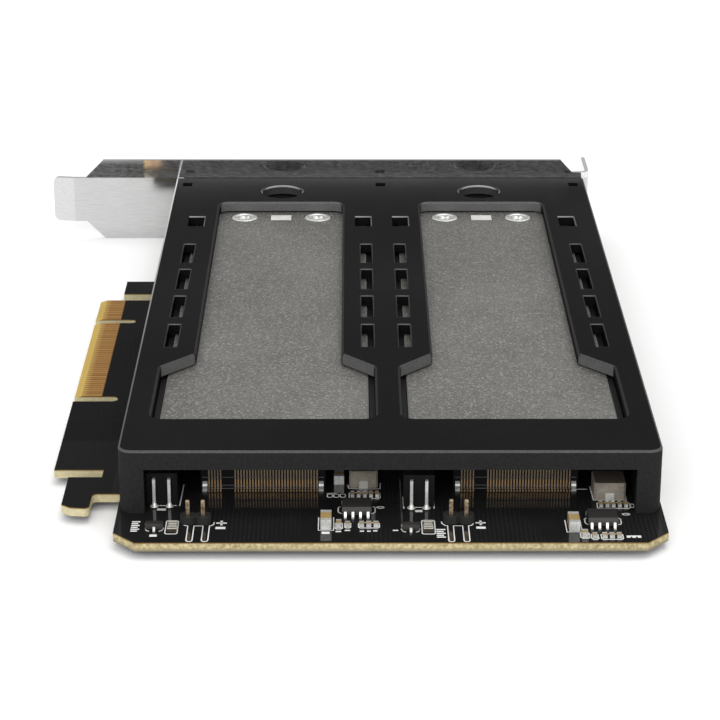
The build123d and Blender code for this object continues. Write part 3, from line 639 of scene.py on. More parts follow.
@dataclass(frozen=True)
class BrushedBracket(Finish):
    """Polished steel with brush lines along X, darker cut edges and a painted dark reflection as a patch
    beside the board.

    The margin above the cage leans a little, so that it mirrors what stands before it. The patch only turns
    rougher where it is already dark, because its fading edge would else show as a pale line. Brush lines have
    a number per metre and a stretch.
    """

    reflection_patch_right: float
    patch_low: float
    tip: float
    top: float
    name: str = "bracket_brushed_steel"
    base: Colour = (0.645, 0.645, 0.645)
    streak: Colour = (0.51, 0.51, 0.51)
    polished: Colour = (0.97, 0.97, 0.965)
    polished_streak: Colour = (0.6, 0.6, 0.6)
    edge: Colour = (0.35, 0.35, 0.35)
    # A painted dark reflection beside the board, with dark streaks and a painted highlight along its crest.
    dull: Colour = (0.17, 0.17, 0.17)
    reflection_streak: Colour = (0.045, 0.045, 0.045)
    crest_highlight: Colour = (0.42, 0.42, 0.42)
    crest_depth: float = 1.1 * MM
    # The bent tip is painted a little lighter as a highlight.
    tip_length: float = 4.7 * MM
    tip_highlight_gain: float = 1.13
    lean: float = 0.0113
    fine_lines: Range = (9000.0, 0.03)
    coarse_lines: Range = (2600.0, 0.3)
    margin_blur: float = 0.15 * MM
    patch_blur: float = 0.3 * MM
    tip_blur: float = 0.1 * MM
    crest_share: float = 0.6
    dark_from: float = 0.7
    rough: Range = (0.1, 0.03)
    dull_rough: float = 0.25
    metal_range: Range = (0.1, 0.9)
    metal: Range = (0.985, 0.93)
    shine: float = 0.2
    fine_depth: float = 0.0005 * MM

    def paint(self, look: Look) -> None:
        """Set the shader.

        Args:
            look: The material's graph.
        """
        fine = look.use(effects.brush, *self.fine_lines)[0]
        coarse = look.use(effects.brush, *self.coarse_lines)[0]
        x, _, z = look.axes
        margin = look.times(look.step(z, self.patch_low, self.margin_blur), look.faces["Nearward"])
        # Painted dark reflection on the margin beside the board.
        patch = look.times(margin, look.step(x, self.reflection_patch_right, -self.patch_blur))
        # Painted highlight: the bent tip is a little lighter.
        tip_end = self.tip + self.tip_length
        gain = look.ramp(x, tip_end, tip_end - self.tip_blur, 1.0, self.tip_highlight_gain)
        lit = look.scale(look.blend(fine, self.streak, self.base), gain)
        sheen = look.blend(margin, lit, look.blend(coarse, self.polished_streak, self.polished))
        # The painted dark reflection gets dark streaks and a painted highlight along its crest.
        crest_highlight = look.ramp(z, self.top - self.crest_depth, self.top, 0.0, self.crest_share)
        reflection_colour = look.blend(crest_highlight, look.blend(coarse, self.reflection_streak, self.dull), self.crest_highlight)
        rougher = look.ramp(patch, self.dark_from, 1.0, 0.0, self.dull_rough)
        look.shade(
            Base_Color=look.blend(look.faces["Raised"], look.blend(patch, sheen, reflection_colour), self.edge),
            Roughness=look.calc("ADD", look.between(fine, self.rough), rougher),
            Metallic=look.ramp(coarse, *self.metal_range, *self.metal),
            Specular_IOR_Level=self.shine,
        )
        lines = look.times(look.calc("ADD", fine, coarse), self.fine_depth)
        above = look.calc("MAXIMUM", look.calc("SUBTRACT", z, self.patch_low), 0.0)
        look.relief(look.calc("ADD", lines, look.times(above, -self.lean)), 1.0)


@dataclass(frozen=True)
class BoardLaminate(Finish):
    """Black solder mask over yellowish glass-fibre laminate, bare where the edge contacts lie.

    The apron is the board's glossier part before the cage, given by its left and its far limit. Tracks and
    regions are noise sizes per metre, and a fade is measured from the board's top or bottom.
    """

    finger_edge: float
    bare_depth: float
    bare_span: Range
    apron: Point
    apron_span: Range
    top: float
    bottom: float
    name: str = "board_black_mask"
    mask: Colour = (0.0115, 0.0115, 0.012)
    side_mask: Colour = (0.0058, 0.0058, 0.006)
    side_trace: Colour = (0.0075, 0.0075, 0.0078)
    trace: Colour = (0.019, 0.019, 0.0195)
    dot: Colour = (0.075, 0.075, 0.07)
    fibre: Colour = (0.66, 0.57, 0.34)
    fibre_dark: Colour = (0.25, 0.2, 0.1)
    fibre_foot: Colour = (0.24, 0.215, 0.145)
    # Painted light on the cut edges in the slots beside the contacts.
    lit_slot_fibre: Colour = (0.62, 0.56, 0.36)
    # Painted shade on the cut edges that face away.
    shaded_far_fibre: Colour = (0.09, 0.078, 0.05)
    rim: Colour = (0.2, 0.12, 0.04)
    bevel: Colour = (0.5, 0.35, 0.095)
    bare: Colour = (0.2, 0.105, 0.035)
    edge_inset: float = 12.3 * MM
    slot_share: float = 0.7
    slope_range: Range = (0.15, 0.2)
    foot_fade: Range = (0.7 * MM, 0.1 * MM)
    rim_fade: Range = (0.3 * MM, 0.08 * MM)
    tracks: float = 420.0
    track_waves: float = 3.0
    track_wave_size: float = 60.0
    track_range: Range = (0.62, 0.8)
    track_height: float = 0.3
    regions: float = 70.0
    region_range: Range = (0.5, 0.6)
    dot_pitch: float = 1.15 * MM
    dot_jitter: float = 0.12
    dot_edge: Range = (0.26, 0.18)
    dot_span: Range = (0.7 * MM, 6.75 * MM)
    dot_blur: Range = (0.1 * MM, 0.25 * MM)
    grain: float = 1600.0
    blotches: float = 150.0
    rough: Range = (0.42, 0.85)
    coat: Range = (0.45, 0.03)
    coat_fade: float = 3.0 * MM
    coat_rough: float = 0.06
    shine: float = 0.01
    depth: float = 0.06 * MM

    def _traces(self, look: Look) -> Socket:
        """Faint raised tracks under the mask, as wavy parallel lines.

        Args:
            look: The material's graph.

        Returns:
            The tracks' mask.
        """
        values = {
            "Vector": look.spot,
            "Scale": self.tracks,
            "Distortion": self.track_waves,
            "Detail": 1.0,
            "Detail Scale": self.track_wave_size,
        }
        lines = look.ramp(look.add("ShaderNodeTexWave", values).outputs["Fac"], *self.track_range)
        return look.times(lines, look.ramp(look.noise(look.spot, self.regions, 1.0), *self.region_range))

    def _dots(self, look: Look, from_edge: Socket) -> Socket:
        """Plated holes in a grid beside the edge contacts.

        Args:
            look: The material's graph.
            from_edge: The distance from the board's contact edge.

        Returns:
            The holes' mask.
        """
        values = {"Vector": look.spot, "Scale": 1 / self.dot_pitch, "Randomness": self.dot_jitter}
        dots = look.ramp(look.add("ShaderNodeTexVoronoi", values).outputs["Distance"], *self.dot_edge)
        start, end = (self.bare_depth + part for part in self.dot_span)
        after = look.step(from_edge, start, self.dot_blur[0])
        return look.times(dots, after, look.step(from_edge, end, -self.dot_blur[1]))

    def _surface(self, look: Look, traces: Socket, from_edge: Socket) -> Socket:
        """The colour of the board's faces.

        Args:
            look: The material's graph.
            traces: The tracks' mask.
            from_edge: The distance from the board's contact edge.

        Returns:
            The colour.
        """
        x, y, _ = look.axes
        inward = look.beyond(x, self.apron[0])
        masked = look.blend(inward, self.side_mask, self.mask)
        tracked = look.blend(traces, masked, look.blend(inward, self.side_trace, self.trace))
        dotted = look.blend(self._dots(look, from_edge), tracked, self.dot)
        along = look.times(look.beyond(y, self.bare_span[0]), look.below(y, self.bare_span[1]))
        topped = look.blend(look.times(look.below(from_edge, self.bare_depth), along), dotted, self.bare)
        sideways = look.ramp(look.faces["Across"], *self.slope_range)
        slope = look.times(sideways, look.flip(look.faces["Upright"]))
        return look.blend(slope, topped, self.bevel)

    def _cut(self, look: Look, grain: Socket, from_edge: Socket) -> Socket:
        """The colour of the board's cut edges, with painted light in the slots and painted shade on the faces
        turned away.

        Args:
            look: The material's graph.
            grain: The shared grain.
            from_edge: The distance from the board's contact edge.

        Returns:
            The colour.
        """
        z = look.axes[2]
        beside = look.below(from_edge, self.edge_inset)
        fibre = look.blend(grain, self.fibre_dark, self.fibre)
        # Painted light on the cut edges in the slots beside the contacts.
        slots_lit = look.blend(look.times(beside, self.slot_share), fibre, self.lit_slot_fibre)
        # Painted shade on the cut edges that face away.
        far_shaded = look.blend(look.faces["Farward"], slots_lit, self.shaded_far_fibre)
        foot = look.ramp(z, *(self.bottom + part for part in self.foot_fade))
        shaded = look.blend(look.times(foot, look.flip(beside)), far_shaded, self.fibre_foot)
        return look.blend(look.ramp(z, *(self.top - part for part in self.rim_fade)), shaded, self.rim)

    def paint(self, look: Look) -> None:
        """Set the shader.

        Args:
            look: The material's graph.
        """
        grain, _ = look.use(effects.grain, self.grain, self.blotches)
        x, y, _ = look.axes
        upright = look.faces["Upright"]
        traces = self._traces(look)
        from_edge = look.calc("SUBTRACT", x, self.finger_edge)
        surface, cut = self._surface(look, traces, from_edge), self._cut(look, grain, from_edge)
        middle, half = sum(self.apron_span) / 2, (self.apron_span[1] - self.apron_span[0]) / 2
        within = look.ramp(look.away(x, middle), half - self.coat_fade, half, *self.coat)
        look.shade(
            Base_Color=look.blend(upright, surface, cut),
            Roughness=look.between(upright, self.rough),
            Specular_IOR_Level=self.shine,
            Coat_Roughness=self.coat_rough,
            Coat_Weight=look.times(look.below(y, self.apron[1]), look.faces["Level"], within),
        )
        raised = look.calc("ADD", look.times(traces, self.track_height), look.times(grain, upright))
        look.relief(raised, self.depth)


@dataclass(frozen=True)
class PlatedMetal(Finish):
    """Plated or bare metal with faint blotches and a fine grain."""

    name: str
    base: Colour
    shade: Colour
    roughness: float = 0.3
    depth: float = 0.0015 * MM
    metallic: float = 1.0
    grain: float = 2500.0
    blotches: float = 350.0
    rough_gain: Range = (0.8, 1.25)

    def paint(self, look: Look) -> None:
        """Set the shader.

        Args:
            look: The material's graph.
        """
        grain, blotch = look.use(effects.grain, self.grain, self.blotches)
        look.shade(
            Base_Color=look.blend(blotch, self.base, self.shade),
            Roughness=look.between(grain, tuple(self.roughness * gain for gain in self.rough_gain)),
            Metallic=self.metallic,
        )
        look.relief(grain, self.depth)


@dataclass(frozen=True)
class EdgeContacts(Finish):
    """Hard gold on the edge contacts: yellow at the bevel, browner inwards, uneven from pad to pad."""

    edge: float
    name: str = "edge_contact_gold"
    tip: Colour = (0.5, 0.33, 0.085)
    pad: Colour = (0.37, 0.185, 0.034)
    dull: Colour = (0.25, 0.118, 0.02)
    fade: float = 1.2 * MM
    unevenness: float = 900.0
    pad_range: Range = (0.35, 0.65)
    rough_range: Range = (0.3, 0.7)
    rough: Range = (0.5, 0.38)
    metallic: float = 0.35
    shine: float = 0.1
    depth: float = 0.01 * MM

    def paint(self, look: Look) -> None:
        """Set the shader.

        Args:
            look: The material's graph.
        """
        x, y, _ = look.axes
        along = look.add("ShaderNodeCombineXYZ", {"Y": y}).outputs[0]
        uneven = look.noise(along, self.unevenness, 2.0)
        padded = look.blend(look.ramp(uneven, *self.pad_range), self.dull, self.pad)
        look.shade(
            Base_Color=look.blend(look.ramp(x, self.edge, self.edge + self.fade), self.tip, padded),
            Roughness=look.ramp(uneven, *self.rough_range, *self.rough),
            Metallic=self.metallic,
            Specular_IOR_Level=self.shine,
        )
        look.relief(uneven, self.depth)


@dataclass(frozen=True)
class BandedTails(Finish):
    """Connector tails: one colour at their feet, another above, and a dark bend between.

    The bend's band starts, is full, starts to end and ends at four heights above the foot.
    """

    foot: float
    name: str = "tails_banded_copper"
    metallic: float = 0.9
    low: Colour = (0.66, 0.43, 0.22)
    high: Colour = (0.37, 0.29, 0.2)
    bend: Colour = (0.24, 0.21, 0.17)
    band: tuple[float, ...] = (0.1 * MM, 0.2 * MM, 0.4 * MM, 0.5 * MM)
    change: Range = (1.5 * MM, 1.9 * MM)
    grain: float = 5000.0
    blotches: float = 500.0
    rough: Range = (0.3, 0.45)
    depth: float = 0.004 * MM

    def paint(self, look: Look) -> None:
        """Set the shader.

        Args:
            look: The material's graph.
        """
        grain, blotch = look.use(effects.grain, self.grain, self.blotches)
        height = look.calc("SUBTRACT", look.axes[2], self.foot)
        bodied = look.blend(look.ramp(height, *self.change), self.low, self.high)
        start, full, fall, end = self.band
        ring = look.times(look.ramp(height, start, full), look.ramp(height, end, fall))
        look.shade(
            Base_Color=look.blend(ring, bodied, self.bend),
            Roughness=look.between(blotch, self.rough),
            Metallic=self.metallic,
        )
        look.relief(grain, self.depth)


@dataclass(frozen=True)
class Fired(Finish):
    """A matt body such as a ceramic chip, a soft pad or printing ink."""

    name: str
    base: Colour
    shade: Colour
    roughness: float = 0.7
    grain: float = 2500.0
    depth: float = 0.02 * MM
    shine: float = 0.3
    blotches: float = 260.0
    grain_share: float = 0.6
    rough_spread: Range = (-0.08, 0.05)

    def paint(self, look: Look) -> None:
        """Set the shader.

        Args:
            look: The material's graph.
        """
        grain, blotch = look.use(effects.grain, self.grain, self.blotches)
        look.shade(
            Base_Color=look.blend(look.weigh(self.grain_share, grain, blotch), self.shade, self.base),
            Roughness=look.between(grain, tuple(self.roughness + part for part in self.rough_spread)),
            Specular_IOR_Level=self.shine,
        )
        look.relief(grain, self.depth)


@dataclass(frozen=True)
class BandedResistor(Finish):
    """The resistor array: pale metal rungs with dark glass between them, in rows along Y."""

    start: float
    pitch: float
    name: str = "resistor_array_banded"
    rung: Colour = (0.78, 0.74, 0.64)
    glass: Colour = (0.05, 0.044, 0.036)
    rung_edge: Range = (0.3, 0.2)
    grain: float = 4000.0
    blotches: float = 900.0
    wear_and_highlight_spread: Range = (0.7, 1.0)
    rough: Range = (0.3, 0.5)
    shine: float = 0.2
    depth: float = 0.03 * MM

    def paint(self, look: Look) -> None:
        """Set the shader.

        Args:
            look: The material's graph.
        """
        _, blotch = look.use(effects.grain, self.grain, self.blotches)
        rows = look.calc("DIVIDE", look.calc("SUBTRACT", look.axes[1], self.start), self.pitch)
        off = look.away(look.calc("FRACT", rows), 0.5)
        rung = look.times(look.ramp(off, *self.rung_edge), look.between(blotch, self.wear_and_highlight_spread))
        look.shade(
            Base_Color=look.blend(rung, self.glass, self.rung),
            Roughness=look.between(rung, self.rough),
            Specular_IOR_Level=self.shine,
        )
        look.relief(rung, self.depth)


@dataclass(frozen=True)
class PressedPowder(Finish):
    """The inductors' pressed metal powder: champagne on the sides, darker on top."""

    name: str = "inductor_champagne"
    side: Colour = (0.36, 0.325, 0.27)
    shade: Colour = (0.17, 0.15, 0.12)
    top: Colour = (0.1, 0.085, 0.07)
    grain: float = 3500.0
    blotches: float = 500.0
    grain_share: float = 0.4
    rough: Range = (0.5, 0.65)
    shine: float = 0.15
    depth: float = 0.03 * MM

    def paint(self, look: Look) -> None:
        """Set the shader.

        Args:
            look: The material's graph.
        """
        grain, blotch = look.use(effects.grain, self.grain, self.blotches)
        sided = look.blend(look.weigh(self.grain_share, grain, blotch), self.shade, self.side)
        look.shade(
            Base_Color=look.blend(look.faces["Level"], sided, self.top),
            Roughness=look.between(grain, self.rough),
            Specular_IOR_Level=self.shine,
        )
        look.relief(grain, self.depth)


class Finishes:
    """Every finish on the card, made from the frame's own sizes."""

    contact_gap = 0.1 * MM
    bare_ends = (0.6 * MM, 0.4 * MM)
    apron_reach = (2 * MM, 30 * MM)
    roof_rise = 0.3 * MM
    reflection_patch_reach = 4.3 * MM
    resistor_rungs = 5

    def __init__(self) -> None:
        """Build the materials."""
        board_low, board_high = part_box("circuit_board")
        contacts_low, contacts_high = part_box("top_edge_contacts")
        cage_low, cage_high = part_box("drive_cage")
        bracket_low, bracket_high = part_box("slot_bracket")
        _, lid_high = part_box("left_tray_lid")
        network_low, network_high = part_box("left_resistor_network")
        self.board = BoardLaminate(
            finger_edge=board_low.x,
            bare_depth=contacts_high.x - board_low.x + self.contact_gap,
            bare_span=(contacts_low.y - self.bare_ends[0], contacts_high.y + self.bare_ends[1]),
            apron=(cage_low.x - self.apron_reach[0], cage_low.y + self.apron_reach[1]),
            apron_span=(cage_low.x, cage_high.x),
            top=board_high.z,
            bottom=board_low.z,
        ).build()
        middles = tuple(side.middle for side in Side)
        self.cage = CageBlack(cage_low, cage_high, lid_high.z + self.roof_rise, middles).build()
        self.tray = MouldedBlack("tray_matt_black", (0.012, 0.012, 0.012), (0.03, 0.03, 0.03), 0.6).build()
        self.housing = MouldedBlack(
            "connector_moulded_black", (0.009, 0.009, 0.0095), (0.03, 0.03, 0.03), 0.5,
        ).build()
        self.package = MouldedBlack(
            "chip_moulded_black", (0.03, 0.029, 0.027), (0.13, 0.125, 0.12), 0.5, 5000.0,
        ).build()
        self.header = MouldedBlack(
            "header_moulded_black", (0.03, 0.03, 0.029), (0.06, 0.06, 0.06), 0.5,
        ).build()
        self.lid = SandedLid().build()
        # How far right of the contacts the bracket's painted dark reflection reaches.
        reflection_patch_right = contacts_low.x + self.reflection_patch_reach
        self.bracket = BrushedBracket(reflection_patch_right, cage_high.z, bracket_low.x, bracket_high.z).build()
        self.contacts = EdgeContacts(contacts_low.x).build()
        self.tails = BandedTails(board_high.z).build()
        self.anchor = BandedTails(
            board_high.z, "anchor_banded_tin", metallic=0.4,
            low=(0.6, 0.6, 0.58), high=(0.13, 0.13, 0.125), bend=(0.16, 0.16, 0.15),
            band=(0.45 * MM, 0.5 * MM, 0.7 * MM, 0.75 * MM), change=(1.0 * MM, 1.1 * MM),
        ).build()
        self.tin = PlatedMetal(
            "solder_tin", (0.88, 0.88, 0.85), (0.62, 0.62, 0.59), depth=0.0002 * MM, metallic=0.5,
        ).build()
        self.bright = PlatedMetal(
            "screw_bright_nickel", (0.88, 0.88, 0.86), (0.72, 0.72, 0.7), 0.34, metallic=0.75,
        ).build()
        self.tab = PlatedMetal(
            "tab_bright_tin", (0.74, 0.73, 0.7), (0.58, 0.57, 0.55), 0.5, metallic=0.1,
        ).build()
        self.zinc = PlatedMetal("screw_zinc", (0.68, 0.69, 0.7), (0.5, 0.51, 0.53)).build()
        self.pins = PlatedMetal(
            "header_pin_gold", (0.66, 0.53, 0.36), (0.16, 0.1, 0.05), depth=0.02 * MM, blotches=1300.0,
        ).build()
        self.brass = PlatedMetal("post_brass", (0.72, 0.52, 0.24), (0.6, 0.42, 0.18)).build()
        self.powder = PressedPowder().build()
        self.ceramic = Fired("chip_tan_ceramic", (0.42, 0.3, 0.125), (0.3, 0.2, 0.075), 0.55).build()
        rung_pitch = (network_high.y - network_low.y) / self.resistor_rungs
        self.network = BandedResistor(network_low.y, rung_pitch).build()
        self.pad = Fired("thermal_pad_blue_grey", (0.25, 0.29, 0.34), (0.2, 0.235, 0.28), 0.9).build()
        self.ink = Fired(
            "board_print_white", (0.95, 0.95, 0.93), (0.72, 0.72, 0.7), 0.8, 6000.0, 0.004 * MM,
        ).build()

    def node_table(self) -> dict[str, Material]:
        """The finish of each CAD node.

        Returns:
            A material for each node's name.
        """
        table = {
            "circuit_board": self.board,
            "top_edge_contacts": self.contacts,
            "bottom_edge_contacts": self.contacts,
            "slot_bracket": self.bracket,
            "bracket_screws": self.zinc,
            "drive_cage": self.cage,
            "cage_screws": self.zinc,
        }
        per_bay = (
            (self.housing, "drive_connector", "lead_socket"),
            (self.tails, "connector_contacts"),
            (self.anchor, "connector_anchors"),
            (self.powder, "power_inductor"),
            (self.tin, "inductor_ends", "regulator_legs", "transistor_legs", "chip_ends", "socket_leads"),
            (self.package, "regulator", "transistor"),
            (self.network, "resistor_network"),
            (self.ceramic, "tall_capacitor", "chip_bodies"),
            (self.header, "header_base"),
            (self.pins, "header_pins"),
            (self.tray, "tray_frame", "tray_front"),
            (self.lid, "tray_lid"),
            (self.bright, "lid_screws"),
            (self.tab, "lid_tab"),
            (self.pad, "thermal_pad"),
            (self.brass, "drive_post"),
        )
        for side in Side:
            for material, *pieces in per_bay:
                table.update({side.node(piece): material for piece in pieces})
        return table

    def dress_nodes(self) -> None:
        """Give every CAD node its finish."""
        table = self.node_table()
        for name, material in table.items():
            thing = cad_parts[name]
            if thing.material_slots:
                thing.material_slots[0].material = material
            else:
                thing.data.materials.append(material)
        log.info("dressed %d nodes", len(table))


def new_object(name: str, data: object) -> Thing:
    """Put a mesh, a light or a camera into the scene.

    Args:
        name: The object's name.
        data: What it shows.

    Returns:
        The object.
    """
    thing = bpy.data.objects.new(name, data)
    bpy.context.scene.collection.objects.link(thing)
    return thing


def flatten(thing: Thing) -> None:
    """Turn an object's modifiers into a plain mesh and remove them.

    Args:
        thing: The object.
    """
    bpy.context.view_layer.update()
    graph = bpy.context.evaluated_depsgraph_get()
    mesh = bpy.data.meshes.new_from_object(thing.evaluated_get(graph))
    thing.modifiers.clear()
    thing.data = mesh
    mesh.name = thing.name


def settle(form: bmesh.types.BMesh, name: str) -> Mesh:
    """Turn a closed form into a mesh with its normals outward.

    Args:
        form: The form, which is freed.
        name: The mesh's name.

    Returns:
        The mesh.
    """
    bmesh.ops.recalc_face_normals(form, faces=form.faces)
    mesh = bpy.data.meshes.new(name)
    form.to_mesh(mesh)
    form.free()
    return mesh


def lathe(name: str, profile: Sequence[Point], steps: int = 40) -> Mesh:
    """Turn a profile about Z into a closed mesh.

    Args:
        name: The mesh's name.
        profile: Radius and height of each ring, upwards, starting and ending on the axis.
        steps: Faces round the axis.

    Returns:
        The mesh.
    """
    form = bmesh.new()
    rings = []
    for radius, height in profile:
        turns = [math.tau * i / steps for i in range(steps if radius else 1)]
        rings.append([form.verts.new((radius * math.cos(t), radius * math.sin(t), height)) for t in turns])
    for lower, upper in zip(rings, rings[1:]):
        for i in range(steps):
            j = (i + 1) % steps
            corners = [ring[k % len(ring)] for ring, k in ((lower, i), (lower, j), (upper, j), (upper, i))]
            form.faces.new(list(dict.fromkeys(corners)))
    return settle(form, name)


def cross_cutter(reach: float, half: float, depth: float, lift: float = 0.2, taper: float = 0.55) -> Mesh:
    """A cross-shaped, tapering plug that cuts a driver recess.

    Args:
        reach: Half the cross's span.
        half: Half the width of each arm.
        depth: Depth of the recess below Z = 0.
        lift: How far the plug stands above Z = 0, as a share of its depth.
        taper: The share of the size that is left at the bottom.

    Returns:
        The mesh.
    """
    quarter = ((half, half), (half, reach), (-half, reach))
    turns = ((1, 0), (0, 1), (-1, 0), (0, -1))
    outline = [(c * x - s * y, s * x + c * y) for c, s in turns for x, y in quarter]
    form = bmesh.new()
    top = [form.verts.new((x, y, depth * lift)) for x, y in outline]
    low = [form.verts.new((x * taper, y * taper, -depth)) for x, y in outline]
    form.faces.new(top)
    form.faces.new(list(reversed(low)))
    for i in range(len(outline)):
        j = (i + 1) % len(outline)
        form.faces.new((top[i], low[i], low[j], top[j]))
    return settle(form, "cross_cutter")


class Repeats:
    """Geometry Nodes trees for what repeats on the card."""

    def __init__(self) -> None:
        """Build the trees."""
        self.copies = self._copies()
        self.ribbons = self._ribbons()
        self.rims = self._rims()

    @staticmethod
    def _start(name: str, inputs: dict[str, str]) -> Group:
        """Start a tree that takes points or edges and gives back a mesh."""
        ends = {"Geometry": "Geometry"}
        return Group(name, "Geometry", {**ends, **inputs, "Material": "Material"}, ends)

    @staticmethod
    def _end(group: Group, shape: Socket) -> Tree:
        """End a tree in Realize Instances and Set Material.

        Args:
            group: The tree's group.
            shape: The geometry so far.

        Returns:
            The tree.
        """
        real = group.add("GeometryNodeRealizeInstances", {"Geometry": shape}).outputs[0]
        values = {"Geometry": real, "Material": group.given["Material"]}
        return group.close(group.add("GeometryNodeSetMaterial", values).outputs[0])

    def _copies(self) -> Tree:
        """A copy of a pattern piece at each point, all turned the same way.

        Returns:
            The tree.
        """
        group = self._start("fastener_copies", {"Pattern": "Object", "Turn": "Rotation", "Size": "Float"})
        values = {"Object": group.given["Pattern"]}
        pattern = group.add("GeometryNodeObjectInfo", values, transform_space="ORIGINAL")
        values = {
            "Points": group.given["Geometry"],
            "Instance": pattern.outputs["Geometry"],
            "Rotation": group.given["Turn"],
            "Scale": group.given["Size"],
        }
        return self._end(group, group.add("GeometryNodeInstanceOnPoints", values).outputs[0])

    def _ribbons(self) -> Tree:
        """A thin flat strip along each line of edges.

        Returns:
            The tree.
        """
        group = self._start("printed_ribbons", {"Width": "Float", "Thickness": "Float"})
        path = group.add("GeometryNodeMeshToCurve", {"Mesh": group.given["Geometry"]}).outputs[0]
        level = group.add("GeometryNodeSetCurveNormal", {"Curve": path}, mode="Z_UP").outputs[0]
        values = {"Width": group.given["Width"], "Height": group.given["Thickness"]}
        section = group.add("GeometryNodeCurvePrimitiveQuadrilateral", values).outputs[0]
        values = {"Curve": level, "Profile Curve": section, "Fill Caps": True}
        return self._end(group, group.add("GeometryNodeCurveToMesh", values).outputs[0])

    def _rims(self) -> Tree:
        """A thin round moulding along each line of edges, as round an opening.

        Returns:
            The tree.
        """
        group = self._start("opening_rims", {"Radius": "Float"})
        path = group.add("GeometryNodeMeshToCurve", {"Mesh": group.given["Geometry"]}).outputs[0]
        values = {"Resolution": 8, "Radius": group.given["Radius"]}
        section = group.add("GeometryNodeCurvePrimitiveCircle", values).outputs[0]
        values = {"Curve": path, "Profile Curve": section, "Fill Caps": True}
        values = {"Geometry": group.add("GeometryNodeCurveToMesh", values).outputs[0], "Shade Smooth": True}
        return self._end(group, group.add("GeometryNodeSetShadeSmooth", values).outputs[0])


repeats = Repeats()


def grow(name: str, mesh: Mesh, tree: Tree, **values: object) -> Thing:
    """Run a geometry tree on a mesh of points or edges and keep the result as a plain mesh.

    Args:
        name: The piece's name.
        mesh: Its points or edges.
        tree: The tree.
        values: The tree's inputs by name.

    Returns:
        The finished piece.
    """
    thing = new_object(name, mesh)
    modifier = thing.modifiers.new("grow", "NODES")
    modifier.node_group = tree
    for item in tree.interface.items_tree:
        if item.in_out == "INPUT" and item.name in values:
            modifier[item.identifier] = values[item.name]
    flatten(thing)
    return thing


def copy_pattern(
    name: str, pattern: Thing, places: Sequence[Place], turn: Place, material: Material,
) -> Thing:
    """Copy a pattern piece to its places and remove it.

    Args:
        name: The finished piece's name.
        pattern: The pattern piece, about Z.
        places: Where the copies go.
        turn: Their turn, as Euler angles.
        material: Their finish.

    Returns:
        The finished piece.
    """
    points = bpy.data.meshes.new(name)
    points.from_pydata(places, [], [])
    thing = grow(name, points, repeats.copies, Pattern=pattern, Turn=turn, Size=1.0, Material=material)
    bpy.data.objects.remove(pattern)
    return thing


def lines_mesh(name: str, lines: Iterable[Sequence[Place]], closed: bool = False) -> Mesh:
    """A mesh of edges along several lines.

    Args:
        name: The mesh's name.
        lines: The lines' points.
        closed: Whether each line is joined to its start.

    Returns:
        The mesh.
    """
    points, edges = [], []
    for line in lines:
        first = len(points)
        points += line
        edges += [(i, i + 1) for i in range(first, len(points) - 1)]
        if closed:
            edges.append((len(points) - 1, first))
    mesh = bpy.data.meshes.new(name)
    mesh.from_pydata(points, edges, [])
    return mesh


def finish_piece(thing: Thing, body: Body, slot: str, *nodes: str) -> None:
    """Fix a finished piece to its body.

    Args:
        thing: The piece.
        body: The body that it rides on.
        slot: The record's material slot, which is not used.
        nodes: The CAD nodes that it stands for.
    """
    if nodes:
        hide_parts(*nodes)
    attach(thing, body.value)
    log.info("%s rides on %s with %d faces", thing.name, body.value, len(thing.data.polygons))


